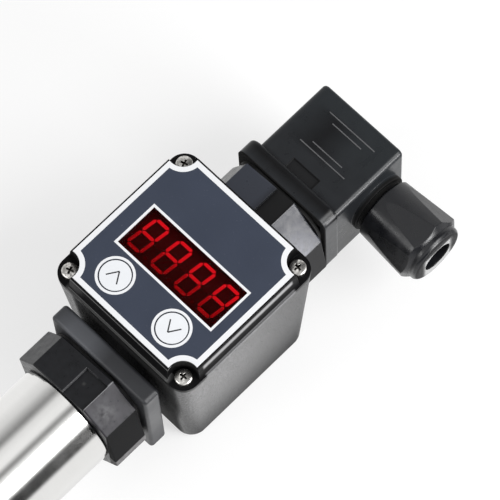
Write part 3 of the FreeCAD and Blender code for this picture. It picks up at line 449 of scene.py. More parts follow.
@dataclass(frozen=True)
class PlatedMetal(Finish):
    """Bright plating with small stains."""

    name: str
    color: Color
    roughness: float = 0.22
    dull: float = 0.15
    stain: float = 0.35
    stain_mm: float = 0.9
    stain_range: Spot = (0.35, 0.7)
    edge_mm: float = 0.08

    def shade(self, graph: Graph, shader: Node) -> None:
        """Stains darken the plating and dull it.

        Args:
            graph: The material's nodes.
            shader: Its Principled shader.
        """
        stains = graph.span(graph.noise(self.stain_mm, detail=4.0), *self.stain_range, 0.0, 1.0)
        plating = graph.mix(stains, self.color, toned(self.color, 1 - self.stain))
        graph.fill(shader, {
            "Base Color": self.toned_plating(graph, plating),
            "Metallic": 1.0,
            "Roughness": graph.span(stains, 0.0, 1.0, self.roughness, self.roughness + self.dull),
            "Normal": graph.rounded(self.edge_mm),
        })

    def toned_plating(self, graph: Graph, plating: Socket) -> Socket:
        """The plating's colour; the same all over here."""
        return plating


@dataclass(frozen=True)
class ScrewPlating(PlatedMetal):
    """Plating of the lid screws, darker down in each cross recess."""

    middle: Spot = (0.0, 112.5)
    at: float = 19.0
    recess_r: Spot = (1.4, 1.6)
    recess_y: Spot = (-21.1, -20.85)
    recess_color: Color = (0.08, 0.076, 0.07)

    def toned_plating(self, graph: Graph, plating: Socket) -> Socket:
        """Darker where a point is near a screw's axis and below its top.

        Args:
            graph: The material's nodes.
            plating: The plain colour.

        Returns:
            The colour.
        """
        corner = [graph.math("ABSOLUTE", part) for part in graph.front_mm(self.middle)]
        near = graph.span(graph.away(corner, (self.at, self.at)), *self.recess_r, 1.0, 0.0)
        deep = graph.span(graph.axes_mm()[1], *self.recess_y, 0.0, 1.0)
        return graph.mix(graph.product(near, deep), plating, self.recess_color)


@dataclass(frozen=True)
class PrintedFilm(Finish):
    """Slate film with a white border that follows its notches, a white window frame and white rings."""

    name: str
    middle: Spot
    half: float
    buttons: Stops
    notch_at: float = 20.1
    notch_r: float = 4.1
    window_at: Spot = (0.67, -0.9)
    window_size: Spot = (31.0, 12.07)
    ink: Color = (0.039, 0.049, 0.076)
    ink_drift: Spot = (0.9, 1.12)
    white: Color = (0.91, 0.92, 0.94)
    dust: Color = (0.16, 0.17, 0.2)
    border: float = 1.3
    frame: float = 0.67
    ring_r: float = 4.85
    hole_r: float = 4.18
    cloud_mm: float = 9.0
    dust_mm: float = 0.35
    dust_range: Spot = (0.74, 0.80)
    dust_share: float = 0.35
    roughness: Spot = (0.36, 0.46)
    specular: float = 0.35
    grain_mm: float = 0.2
    grain: float = 0.03
    relief_mm: float = 0.05

    def shade(self, graph: Graph, shader: Node) -> None:
        """White where a print distance says so, slate elsewhere, with faint dust.

        Args:
            graph: The material's nodes.
            shader: Its Principled shader.
        """
        at = graph.front_mm(self.middle)
        rings = (self.ring_mask(graph, at, spot) for spot in self.buttons)
        white = graph.largest(self.border_mask(graph, at), self.window_mask(graph, at), *rings)
        clouds = graph.noise(self.cloud_mm, detail=3.0)
        slate = graph.mix(clouds, *(toned(self.ink, share) for share in self.ink_drift))
        specks = graph.noise(self.dust_mm, detail=1.0)
        dusty = graph.mix(graph.span(specks, *self.dust_range, 0.0, self.dust_share), slate, self.dust)
        graph.fill(shader, {
            "Base Color": graph.mix(white, dusty, self.white),
            "Roughness": graph.span(clouds, *WIDE, *self.roughness),
            "Specular IOR Level": self.specular,
            "Normal": graph.relief(graph.noise(self.grain_mm), self.grain, self.relief_mm),
        })

    def border_mask(self, graph: Graph, at: Sequence[Socket]) -> Socket:
        """Mask of the white border.

        Args:
            graph: The material's nodes.
            at: Place from the film's middle.

        Returns:
            1 within the border's width of the film's notched edge.
        """
        to_side = graph.outside(at, (0.0, 0.0), (2 * self.half, 2 * self.half))
        corner = [graph.math("ABSOLUTE", part) for part in at]
        to_notch = graph.math("SUBTRACT", self.notch_r, graph.away(corner, (self.notch_at, self.notch_at)))
        return graph.math("GREATER_THAN", graph.largest(to_side, to_notch), -self.border)

    def window_mask(self, graph: Graph, at: Sequence[Socket]) -> Socket:
        """1 within the frame's width of the window."""
        return graph.math("LESS_THAN", graph.outside(at, self.window_at, self.window_size), self.frame)

    def ring_mask(self, graph: Graph, at: Sequence[Socket], spot: Spot) -> Socket:
        """1 in the white ring round a button, which stops short of its hole."""
        away = graph.away(at, spot)
        return graph.product(graph.math("LESS_THAN", away, self.ring_r),
                             graph.math("GREATER_THAN", away, self.hole_r))


@dataclass(frozen=True)
class TintedPane(Finish):
    """Dark red pane that the digits shine through."""

    name: str
    color: Color = (0.058, 0.002, 0.002)
    deep: float = 0.7
    alpha: float = 0.16
    roughness: Spot = (0.12, 0.22)
    specular: float = 0.12
    smear_mm: float = 4.0

    def shade(self, graph: Graph, shader: Node) -> None:
        """A tinted, partly clear sheet with faint smears.

        Args:
            graph: The material's nodes.
            shader: Its Principled shader.
        """
        smear = graph.noise(self.smear_mm, detail=3.0)
        graph.fill(shader, {
            "Base Color": graph.mix(smear, toned(self.color, self.deep), self.color),
            "Roughness": graph.span(smear, *WIDE, *self.roughness),
            "Alpha": self.alpha,
            "Specular IOR Level": self.specular,
        })


@dataclass(frozen=True)
class LitBar(Finish):
    """Red bar that glows, stronger in the upper half of its digit; the decimal dots stay nearly dark."""

    name: str
    low_z: float
    high_z: float
    bright: Color = (0.74, 0.006, 0.012)
    dim: Color = (0.42, 0.004, 0.006)
    strength: float = 1.0
    unlit: float = 0.12
    roughness: float = 0.4
    uneven_mm: float = 1.1
    uneven: float = 0.5
    dot_x: float = -8.05
    dot_pitch: float = 7.82
    dot_half: float = 0.085
    dot_top: float = 108.4
    dot_glow: float = 0.12

    def shade(self, graph: Graph, shader: Node) -> None:
        """The glow fades towards the digit's foot, with small uneven spots.

        Args:
            graph: The material's nodes.
            shader: Its Principled shader.
        """
        axes = graph.axes_mm()
        rise = graph.span(axes[2], self.low_z, self.high_z, 0.0, 1.0)
        lowered = graph.math("SUBTRACT", rise, self.uneven / 2)
        share = graph.math("MULTIPLY_ADD", graph.noise(self.uneven_mm), self.uneven, lowered)
        shift = graph.math("DIVIDE", graph.math("SUBTRACT", axes[0], self.dot_x), self.dot_pitch)
        from_dot = graph.math("ABSOLUTE", graph.math("WRAP", shift, 0.5, -0.5))
        in_line = graph.math("LESS_THAN", from_dot, self.dot_half)
        dot = graph.product(in_line, graph.math("LESS_THAN", axes[2], self.dot_top))
        bar = graph.mix(share, self.dim, self.bright)
        glow = graph.mix(dot, bar, toned(self.dim, self.dot_glow))
        graph.fill(shader, {
            "Base Color": graph.mix(1 - self.unlit, glow, (0.0, 0.0, 0.0)),
            "Emission Color": glow,
            "Emission Strength": self.strength,
            "Specular IOR Level": 0.0,
            "Roughness": self.roughness,
        })


BASE_PATCHES = (
    # Upper base: paler front and paler corner facet as painted light, a painted highlight on that facet and
    # on the recess's edge, and painted shade in the recess and on the duller facet on the gland's side
    Patch((-13.0, -OPEN, 130.0), (-0.6, -13.5, OPEN), (0.040, 0.045, 0.060), (1.5, 0.1, 0.1)),
    Patch((-0.4, -OPEN, 130.0), (5.5, -13.5, OPEN), (0.002, 0.002, 0.0025), roughness=0.5),
    Patch((5.6, -OPEN, 130.0), (OPEN, -6.6, OPEN), (0.045, 0.047, 0.060), mottle=0.4),
    Patch((10.5, -OPEN, 130.0), (OPEN, -6.6, 141.0), (0.30, 0.305, 0.345), (3.0, 0.1, 4.0), mottle=0.6),
    Patch((14.2, -6.4, 130.0), (OPEN, OPEN, OPEN), (0.008, 0.008, 0.009), roughness=0.65),
    Patch((5.38, -OPEN, 130.0), (5.70, -15.5, OPEN), (0.16, 0.16, 0.17), (0.06, 0.1, 0.1)),
    # Lower base: paler corner facet as painted light, painted shade on the facet on the gland's side, a
    # painted highlight on that facet's far strip, and a paler mottled spot on the corner facet
    Patch((6.8, -OPEN, -OPEN), (OPEN, -10.6, 90.0), (0.036, 0.034, 0.041), mottle=0.4),
    Patch((13.9, -10.5, -OPEN), (OPEN, OPEN, 90.0), (0.001, 0.001, 0.0015), roughness=0.95),
    Patch((13.9, 4.4, -OPEN), (OPEN, OPEN, 90.0), (0.21, 0.205, 0.208), (0.1, 0.15, 0.1), mottle=0.3),
    Patch((8.8, -OPEN, 73.5), (11.8, -10.6, 78.0), (0.10, 0.10, 0.105), (1.5, 0.1, 1.5), mottle=1.0),
    # Lower base: pale speck in the recess, and painted highlights on the recess's three edges
    Patch((1.5, -OPEN, 76.85), (2.15, -13.5, 77.5), (0.055, 0.055, 0.055), (0.3, 0.1, 0.3)),
    Patch((-0.55, -OPEN, -OPEN), (-0.30, -14.4, 80.4), (0.10, 0.10, 0.105), (0.06, 0.1, 0.1)),
    Patch((-0.4, -OPEN, 80.25), (3.5, -14.4, 80.5), (0.05, 0.05, 0.055), (0.1, 0.1, 0.06)),
    Patch((6.58, -OPEN, -OPEN), (6.88, -15.7, 90.0), (0.20, 0.20, 0.21), (0.06, 0.1, 0.1)),
)
COLLAR_PATCHES = (
    # Paler left part of the front, as painted light
    Patch((-13.0, -OPEN, -OPEN), (-1.0, -15.5, 88.0), (0.095, 0.100, 0.112), (3.0, 0.2, 0.2)),
)
CASE_PATCHES = (
    # Painted sheen on the front of the gland's side, and painted shade on the duller underside and its corner
    Patch((19.5, -OPEN, -OPEN), (OPEN, 3.0, 118.0), (0.090, 0.089, 0.092), (0.2, 12.0, 14.0), mottle=0.5),
    Patch((-14.6, -OPEN, -OPEN), (18.6, OPEN, 91.4), (0.002, 0.002, 0.0025), (0.9, 0.1, 0.4), 0.9),
    Patch((8.5, 3.0, -OPEN), (16.8, OPEN, 93.2), (0.002, 0.002, 0.0025), (0.8, 2.0, 0.3), 0.9),
)
LID_PATCHES = (
    # Painted highlights along the front and back edges of the gland's side and of the underside
    Patch((20.6, -24.05, 97.8), (OPEN, -22.7, 127.2), (0.36, 0.36, 0.365), (0.1, 0.35, 0.3)),
    Patch((20.6, -19.9, 97.8), (OPEN, -18.0, 127.2), (0.20, 0.20, 0.205), (0.1, 0.25, 0.3)),
    Patch((-17.0, -24.5, -OPEN), (17.0, -24.2, 92.5), (0.26, 0.26, 0.26), (0.5, 0.06, 0.1)),
    Patch((-17.0, -20.05, -OPEN), (17.0, -19.7, 92.5), (0.22, 0.22, 0.22), (0.5, 0.06, 0.1)),
)
PLUG_PATCHES = (
    # Paler top as painted light, and painted shade on the front over the foot, in its middle and on the
    # foot's underside
    Patch((-OPEN, -OPEN, 164.0), (OPEN, OPEN, OPEN), (0.0185, 0.0220, 0.0250), (1.0, 1.0, 8.0)),
    Patch((-OPEN, -OPEN, 147.0), (OPEN, -12.0, 149.6), (0.0010, 0.0010, 0.0016), (0.1, 0.1, 1.2)),
    Patch((-6.5, -OPEN, 156.8), (1.5, -12.0, 167.6), (0.0040, 0.0044, 0.0056), (3.5, 0.1, 0.8)),
    Patch((-OPEN, -OPEN, -OPEN), (OPEN, OPEN, 145.3), (0.001, 0.001, 0.001), roughness=0.95),
    # Painted highlight on the front corner, the darker, duller sunk field, and painted shade round the gland,
    # duller there
    Patch((13.9, -OPEN, 146.0), (OPEN, -12.9, 171.8), (0.17, 0.17, 0.175), (0.15, 0.15, 0.3)),
    Patch((-3.65, -OPEN, 149.85), (5.35, -12.0, 153.15), (0.0035, 0.0037, 0.0046), roughness=0.7),
    Patch((14.9, -9.6, 150.0), (OPEN, 9.6, OPEN), (0.001, 0.001, 0.001), (0.2, 0.5, 0.5), 0.7),
)
NUT_PATCHES = (
    # Dull end face, a little darker as painted shade, and its far side glossier and paler as a painted
    # highlight
    Patch((35.2, -OPEN, -OPEN), (OPEN, OPEN, OPEN), (0.004, 0.004, 0.005), roughness=0.9),
    Patch((35.2, -4.6, 157.8), (OPEN, OPEN, 167.2), (0.02, 0.02, 0.02), (0.1, 0.7, 0.7), 0.3),
)


class Tone(Enum):
    """The finishes that do not depend on the frame's sizes."""

    TUBE = TurnedSteel("tube_steel", (0.92, 0.915, 0.90), roughness=0.13, smear=0.03)
    FITTING = TurnedSteel("fitting_steel", (0.74, 0.74, 0.73), roughness=0.26)
    BASE = Moulded(
        "base_black", (0.0090, 0.0095, 0.0115), roughness=0.33, blotch_mm=1.6, blotch=0.4, grain=0.14,
        specular=0.30, patches=BASE_PATCHES)
    COLLAR = Moulded(
        "collar_black", (0.026, 0.027, 0.031), roughness=0.46, grain=0.18, blotch_mm=9.0,
        patches=COLLAR_PATCHES)
    CASE = Moulded(
        "case_black", (0.0070, 0.0070, 0.0082), roughness=0.34, grain_mm=0.6, grain=0.85, relief_mm=0.4,
        speckle=0.7, blotch_mm=0.8, blotch=0.2, patchy=0.04, edge_mm=0.2, patches=CASE_PATCHES)
    LID = Moulded(
        "lid_black", (0.004, 0.004, 0.0045), roughness=0.42, grain=0.06, edge_mm=0.18, specular=0.10,
        patches=LID_PATCHES)
    PLUG = Moulded(
        "plug_black", (0.0150, 0.0165, 0.0190), roughness=0.30, grain_mm=0.25, grain=0.16, edge_mm=0.3,
        patchy=0.04, specular=0.30, patches=PLUG_PATCHES)
    # Paler grey on the plug's raised lines, as a painted highlight where the ribs catch the light
    LINE = Moulded("plug_line", (0.11, 0.11, 0.115), grain=0.05)
    NUT = Moulded(
        "nut_black", (0.0085, 0.0090, 0.0112), roughness=0.29, grain=0.10, edge_mm=0.35, patches=NUT_PATCHES)
    RUBBER = Moulded("seal_rubber", (0.014, 0.014, 0.014), roughness=0.6, grain=0.2, specular=0.35)
    BUTTON = Moulded("button_white", (0.89, 0.91, 0.94), roughness=0.42, blotch=0.03, grain=0.03)
    INK = Moulded("button_ink", (0.012, 0.012, 0.014), roughness=0.5)
    DIGITS = Moulded("digit_moulding", (0.040, 0.0012, 0.0012), roughness=0.5, specular=0.03)
    SCREW = ScrewPlating("screw_plating", (0.90, 0.88, 0.84), stain=0.75, stain_mm=0.6)
    BRASS = PlatedMetal("contact_brass", (0.78, 0.58, 0.28))
    BOARD = Moulded("board_green", (0.02, 0.11, 0.05), roughness=0.35)
    CHIP = Moulded("chip_black", (0.018, 0.018, 0.018), roughness=0.5)
    WIRE = Moulded("wire_red", (0.35, 0.03, 0.03), roughness=0.45)
    CERAMIC = Moulded("element_ceramic", (0.80, 0.77, 0.70), roughness=0.6)

    @property
    def material(self) -> Material:
        """The finish's material."""
        return self.value.material()


NODE_TONES: dict[Tone, tuple[str, ...]] = {
    Tone.TUBE: ("housing_tube", "probe_sheath"),
    Tone.FITTING: ("process_fitting",),
    Tone.BASE: ("lower_base", "upper_base"),
    Tone.COLLAR: ("socket_shell",),
    Tone.CASE: ("display_case", "socket_nut", "upper_base_nut"),
    Tone.LID: ("display_lid",),
    Tone.PLUG: ("plug_shell", "plug_insert"),
    Tone.NUT: ("gland_nut", "gland_ring"),
    Tone.RUBBER: ("tube_oring", "lower_gasket", "lid_gasket", "plug_gasket", "gland_grommet", "screw_seal"),
    Tone.BUTTON: ("up_button", "down_button"),
    Tone.DIGITS: ("led_module",),
    Tone.SCREW: ("case_screw", "plug_screw", "lid_screws"),
    Tone.BRASS: ("lower_pins", "upper_pins", "lower_insert", "upper_insert", "socket_contacts",
                 "plug_contacts", "terminal_screws"),
    Tone.BOARD: ("transmitter_board", "display_board"),
    Tone.CHIP: ("board_chips", "display_chips", "up_plunger", "down_plunger", "up_switch", "down_switch"),
    Tone.WIRE: ("sensor_leads", "signal_wires", "loop_wires"),
    Tone.CERAMIC: ("sensor_element",),
}


# Mesh helpers

def paint(obj: Thing, material: Material) -> None:
    """Give an object one material."""
    obj.data.materials.clear()
    obj.data.materials.append(material)


def mesh_object(name: str, shape: Shape) -> Thing:
    """Turn a shape into an object at the origin.

    Args:
        name: The object's name.
        shape: The shape, freed here.

    Returns:
        The linked object.
    """
    mesh = bpy.data.meshes.new(name)
    shape.to_mesh(mesh)
    shape.free()
    obj = bpy.data.objects.new(name, mesh)
    bpy.context.scene.collection.objects.link(obj)
    return obj


def spun(profile: Sequence[Spot], steps: int) -> Shape:
    """Closed shape spun from a profile about Z.

    Args:
        profile: Radius and height of each point, in metres, from the axis round to the axis.
        steps: Divisions of the turn.

    Returns:
        The shape, its faces pointing outwards.
    """
    shape = bmesh.new()
    points = [shape.verts.new((radius, 0, height)) for radius, height in profile]
    edges = [shape.edges.new(pair) for pair in zip(points, points[1:])]
    bmesh.ops.spin(shape, geom=points + edges, axis=(0, 0, 1), cent=(0, 0, 0), steps=steps, angle=math.tau)
    bmesh.ops.remove_doubles(shape, verts=shape.verts, dist=SAME_POINT)
    bmesh.ops.recalc_face_normals(shape, faces=shape.faces)
    return shape


def add_box(shape: Shape, size_mm: Point, place: Matrix, taper: float = 1.0) -> None:
    """Add a box to a shape.

    Args:
        shape: The shape to add to.
        size_mm: Its sides before it is placed.
        place: Where it goes, in metres.
        taper: Share of the X and Y sides that is left at its low Z end.
    """
    for vert in bmesh.ops.create_cube(shape, size=1.0)["verts"]:
        share = taper if vert.co.z < 0 else 1.0
        shares = (share, share, 1.0)
        vert.co = place @ Vector([at * side * MM * part for at, side, part in zip(vert.co, size_mm, shares)])


# Sub-assemblies

@dataclass
class ProcessEnd:
    """Hexagon fitting with a cut thread, in place of the plain-shanked solid."""

    pitch: float = 1.5
    depth: float = 0.92
    length: float = 18.0
    crest_r: float = 10.0
    bore_r: float = 3.1
    chamfer: float = 1.5
    runout: float = 2.4
    flank: Spot = (0.06, 0.42)
    seat_gap: float = 0.01
    bore_gap: float = 0.2
    around: int = 96
    per_pitch: int = 8

    def build(self, nodes: dict[str, Thing]) -> Thing:
        """Copy the fitting without its shank and join a threaded one to it.

        Args:
            nodes: The frame's solids.

        Returns:
            The new fitting.
        """
        shape = bmesh.new()
        shape.from_mesh(nodes["process_fitting"].data)
        bmesh.ops.remove_doubles(shape, verts=shape.verts, dist=SAME_POINT)
        below = [face for face in shape.faces if self.is_shank(face)]
        bmesh.ops.delete(shape, geom=below, context="FACES")
        thread = self.thread()
        shape.from_mesh(thread.data)
        bpy.data.objects.remove(thread)
        bmesh.ops.remove_doubles(shape, verts=shape.verts, dist=WELD)
        fitting = mesh_object("threaded_fitting", shape)
        paint(fitting, Tone.FITTING.material)
        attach(fitting, ROOT_BODY)
        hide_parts("process_fitting")
        return fitting

    def is_shank(self, face: bmesh.types.BMFace) -> bool:
        """True for a face of the plain shank's outside."""
        x, y, z = face.calc_center_median() / MM
        return z < -self.seat_gap and math.hypot(x, y) > self.bore_r + self.bore_gap

    def thread(self) -> Thing:
        """Threaded sleeve: a sheet rolled round the axis, its radius set by turn and height.

        Returns:
            An object with the sleeve's mesh.
        """
        sizes = {
            "Crest Radius": self.crest_r * MM, "Depth": self.depth * MM, "Pitch": self.pitch * MM,
            "Length": self.length * MM, "Chamfer": self.chamfer * MM, "Run-out": self.runout * MM,
            "Bore Radius": self.bore_r * MM,
        }
        tree = ShapeTree("thread_sleeve", dict.fromkeys(sizes, "Float"))
        given = tree.given
        rows = round(self.length / self.pitch * self.per_pitch) + 2
        sheet = tree.add("GeometryNodeMeshGrid", {
            "Size X": 1.0, "Size Y": 1.0, "Vertices X": self.around + 1, "Vertices Y": rows})
        place = tree.add("ShaderNodeSeparateXYZ", {0: tree.add("GeometryNodeInputPosition")})
        turn = tree.math("ADD", place.outputs[0], 0.5)
        share = tree.math("ADD", place.outputs[1], 0.5)
        drop = tree.math("MULTIPLY", tree.math("SUBTRACT", share, 1.0), given["Length"])
        # The groove winds down with the turn and runs out under the hexagon
        wave = tree.math("SUBTRACT", tree.math("DIVIDE", drop, given["Pitch"]), turn)
        cut = tree.span(tree.math("PINGPONG", wave, 0.5), *self.flank, 1.0, 0.0)
        shown = tree.span(tree.math("DIVIDE", drop, given["Run-out"]), 0.0, -1.0, 0.0, 1.0)
        cut_r = tree.math("SUBTRACT", given["Crest Radius"], tree.product(cut, shown, given["Depth"]))
        # A chamfer narrows the low end, and the lowest row closes it to the bore
        end_r = tree.math("SUBTRACT", given["Crest Radius"], given["Chamfer"])
        wall_r = tree.math("MINIMUM", cut_r, tree.math("ADD", end_r, tree.math("ADD", drop, given["Length"])))
        end_row = tree.math("LESS_THAN", share, 0.5 / (rows - 1))
        inwards = tree.math("SUBTRACT", given["Bore Radius"], wall_r)
        radius = tree.math("ADD", wall_r, tree.math("MULTIPLY", end_row, inwards))
        angle = tree.math("MULTIPLY", turn, math.tau)
        rolled = tree.add("ShaderNodeCombineXYZ", {
            0: tree.math("MULTIPLY", radius, tree.math("COSINE", angle)),
            1: tree.math("MULTIPLY", radius, tree.math("SINE", angle)),
            2: drop,
        })
        moved = tree.add("GeometryNodeSetPosition", {"Geometry": sheet, "Position": rolled})
        tree.close(tree.add("GeometryNodeMergeByDistance", {"Geometry": moved, "Distance": WELD}))
        return tree.grow("process_thread", {**sizes, "Material": Tone.FITTING.material})


@dataclass
class LidScrews:
    """Round-head screws with a cross recess, one in each notch of the lid."""

    head_d: float = 4.2
    head: float = 1.5
    rim: float = 1.05
    shank_d: float = 2.5
    shank: float = 11.0
    recess: float = 2.9
    wing: float = 0.75
    wing_taper: float = 0.45
    recess_depth: float = 1.1
    at: float = 19.0
    seed: int = 7
    around: int = 40
    dome_steps: int = 6

    def build(self, middle: Vector, seat_y: float) -> Thing:
        """Set four screws on a square pattern.

        Args:
            middle: The pattern's middle.
            seat_y: Where the heads sit.

        Returns:
            The four screws as one piece.
        """
        screw = self.screw()
        cutter = self.cutter()
        screws = self.pattern().grow("lid_screw_set", {
            "Screw": screw, "Recess": cutter, "Spacing": 2 * self.at * MM, "Seed": self.seed,
            "Middle": (middle.x, seat_y, middle.z), "Material": Tone.SCREW.material,
        })
        for tool in (screw, cutter):
            bpy.data.objects.remove(tool)
        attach(screws, ROOT_BODY)
        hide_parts("lid_screws")
        return screws

    def screw(self) -> Thing:
        """One screw along Z, its seat at the origin.

        Returns:
            The screw, with no recess yet.
        """
        head_r = self.head_d / 2
        shank_r = self.shank_d / 2
        dome = self.head - self.rim
        profile = [(0, -self.shank), (shank_r, -self.shank), (shank_r, 0), (head_r, 0)]
        for i in range(self.dome_steps + 1):
            turn = math.radians(90 * i / self.dome_steps)
            profile.append((head_r * math.cos(turn), self.rim + dome * math.sin(turn)))
        return mesh_object("screw_blank", spun([(r * MM, z * MM) for r, z in profile], self.around))

    def cutter(self) -> Thing:
        """Cross-shaped tool with tapering wings.

        Returns:
            The tool, its middle at the top of the head.
        """
        shape = bmesh.new()
        lift = Matrix.Translation((0, 0, self.head * MM))
        for turn in (0, 90):
            place = lift @ Matrix.Rotation(math.radians(turn), 4, "Z")
            add_box(shape, (self.recess, self.wing, 2 * self.recess_depth), place, self.wing_taper)
        return mesh_object("screw_recess", shape)

    def pattern(self) -> ShapeTree:
        """Tree that cuts the recess and sets a screw at each corner of a square, each turned by chance.

        Returns:
            The geometry node tree.
        """
        tree = ShapeTree("corner_screws", {
            "Screw": "Object", "Recess": "Object", "Spacing": "Float", "Middle": "Vector", "Seed": "Int"})
        given = tree.given
        blank = tree.add("GeometryNodeObjectInfo", {"Object": given["Screw"]})
        tool = tree.add("GeometryNodeObjectInfo", {"Object": given["Recess"]})
        recessed = tree.add("GeometryNodeMeshBoolean", {
            0: blank.outputs["Geometry"], 1: tool.outputs["Geometry"], "Self Intersection": True,
        }, operation="DIFFERENCE", solver="EXACT")
        corners = tree.add("GeometryNodeMeshGrid", {
            "Size X": given["Spacing"], "Size Y": given["Spacing"], "Vertices X": 2, "Vertices Y": 2})
        chance = tree.add("FunctionNodeRandomValue", {
            0: (0, 0, 0), 1: (0, 0, math.pi / 2), "Seed": given["Seed"]}, data_type="FLOAT_VECTOR")
        screws = tree.add("GeometryNodeInstanceOnPoints", {
            "Points": corners, "Instance": recessed, "Rotation": chance})
        tree.close(tree.add("GeometryNodeTransform", {
            "Geometry": screws, "Translation": given["Middle"], "Rotation": (math.pi / 2, 0, 0)}))
        return tree


@dataclass
class PushButton:
    """A round white key with a printed chevron."""

    node: str
    points_up: bool
    leg: float = 3.3
    line: float = 0.34
    spread: float = 33.0
    ink_thick: float = 0.008

    def build(self) -> Thing:
        """Print the chevron on the key's face.

        Returns:
            The chevron, which rides on its key.
        """
        low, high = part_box(self.node)
        middle = (low + high) / 2
        way = 1 if self.points_up else -1
        rise = self.leg * math.cos(math.radians(self.spread)) * MM
        tip = Matrix.Translation((middle.x, low.y, middle.z + way * rise / 2))
        down = Matrix.Translation((0, 0, -way * self.leg * MM / 2))
        shape = bmesh.new()
        for side in (1, -1):
            turn = Matrix.Rotation(math.radians(side * self.spread), 4, "Y")
            add_box(shape, (self.line, 2 * self.ink_thick, self.leg), tip @ turn @ down)
        ink = mesh_object(self.node + "_chevron", shape)
        paint(ink, Tone.INK.material)
        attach(ink, self.node)
        return ink


@dataclass
class DisplayFront:
    """Printed film, keys, tinted window and lit digits."""

    ledge: float = 5.3

    def build(self, nodes: dict[str, Thing]) -> None:
        """Dress the film, the window and the digits, print the keys and set the screws.

        Args:
            nodes: The frame's solids.
        """
        low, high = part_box("front_overlay")
        middle = (low + high) / 2
        keys = [(sum(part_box(name), Vector()) / 2 - middle) / MM for name in ("up_button", "down_button")]
        film = PrintedFilm(
            "front_print",
            middle=(middle.x / MM, middle.z / MM),
            half=(high.x - low.x) / 2 / MM,
            buttons=tuple((key.x, key.z) for key in keys),
        )
        paint(nodes["front_overlay"], film.material())
        paint(nodes["window_pane"], TintedPane("window_red").material())
        bars = LitBar("digit_glow", *(corner.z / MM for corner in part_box("led_segments")))
        paint(nodes["led_segments"], bars.material())
        for button in (PushButton("up_button", True), PushButton("down_button", False)):
            LOG.info("piece %s", button.build().name)
        seat_y = low.y + self.ledge * MM
        LOG.info("piece %s", LidScrews().build(middle, seat_y).name)


@dataclass
class PlugLines:
    """Four thin raised lines on the plug's front face."""

    width: float = 0.3
    rise: float = 0.14
    edge: float = 0.05
    edge_steps: int = 2
    face_y: float = -13.4
    # Start and end across the plug, and height
    ends: tuple[Point, ...] = (
        (-5.8, 9.3, 167.5),
        (-3.1, 6.5, 165.75),
        (-3.3, 6.5, 159.1),
        (-5.9, 9.0, 157.4),
    )

    def build(self) -> Thing:
        """Make the lines as low ribs.

        Returns:
            The four ribs as one piece.
        """
        shape = bmesh.new()
        for start, end, height in self.ends:
            middle = Vector(((start + end) / 2, self.face_y, height)) * MM
            add_box(shape, (end - start, 2 * self.rise, self.width), Matrix.Translation(middle))
        bmesh.ops.bevel(shape, geom=shape.edges[:], offset=self.edge * MM, segments=self.edge_steps,
                        affect="EDGES", profile=0.5)
        lines = mesh_object("plug_lines", shape)
        paint(lines, Tone.LINE.material)
        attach(lines, ROOT_BODY)
        return lines


# Studio

@dataclass(frozen=True)
class PhotoCamera:
    """A long lens that looks at the front from below and to the right, rolled with the picture."""

    place: Point = (239.12, -814.34, -74.31)
    turn: Point = (109.4656, -44.8121, 2.2639)
    picture_px: float = 500.0
    focal_px: float = 3600.0
    sensor: float = 36.0
    nearest: float = 10.0

    def build(self) -> None:
        """Make the camera and use it."""
        data = bpy.data.cameras.new("photo_camera")
        data.sensor_width = self.sensor
        data.lens = self.sensor * self.focal_px / self.picture_px
        data.clip_start = self.nearest * MM
        camera = bpy.data.objects.new("photo_camera", data)
        camera.location = Vector(self.place) * MM
        camera.rotation_euler = Euler([math.radians(angle) for angle in self.turn])
        bpy.context.scene.collection.objects.link(camera)
        bpy.context.scene.camera = camera


@dataclass(frozen=True)
class Softbox:
    """An area lamp aimed at the object; its distance and size are in metres."""

    name: str
    azimuth: float
    elevation: float
    distance: float
    size: Spot
    power: float
    aim: Point = (5.0, 0.0, 110.0)
    mirrored: bool = True

    def build(self) -> None:
        """Place the lamp; azimuth 0 is in front of the display and 90 is on the gland's side."""
        around = math.radians(self.azimuth)
        up = math.radians(self.elevation)
        way = Vector((math.sin(around) * math.cos(up), -math.cos(around) * math.cos(up), math.sin(up)))
        data = bpy.data.lights.new(self.name, "AREA")
        data.shape = "RECTANGLE"
        data.size, data.size_y = self.size
        data.energy = self.power
        lamp = bpy.data.objects.new(self.name, data)
        lamp.visible_glossy = self.mirrored
        lamp.visible_camera = False
        lamp.location = Vector(self.aim) * MM + way * self.distance
        lamp.rotation_euler = way.to_track_quat("Z", "Y").to_euler()
        bpy.context.scene.collection.objects.link(lamp)


@dataclass(frozen=True)
class Panel:
    """An upright one-faced sheet of the studio, in metres, which some kinds of ray pass by."""

    name: str
    finish: str
    low: Spot
    high: Spot
    y: float
    passed_by: tuple[str, ...]

    def build(self) -> tuple[Thing, Graph]:
        """Make the sheet.

        Returns:
            The sheet and the nodes of its material, which is empty so far.
        """
        shape = bmesh.new()
        corners = [self.low, (self.high[0], self.low[1]), self.high, (self.low[0], self.high[1])]
        shape.faces.new([shape.verts.new((x, self.y, z)) for x, z in corners])
        sheet = mesh_object(self.name, shape)
        for kind in self.passed_by:
            setattr(sheet, "visible_" + kind, False)
        material = bpy.data.materials.new(self.finish)
        material.use_nodes = True
        material.node_tree.nodes.clear()
        paint(sheet, material)
        return sheet, Graph(material.node_tree)


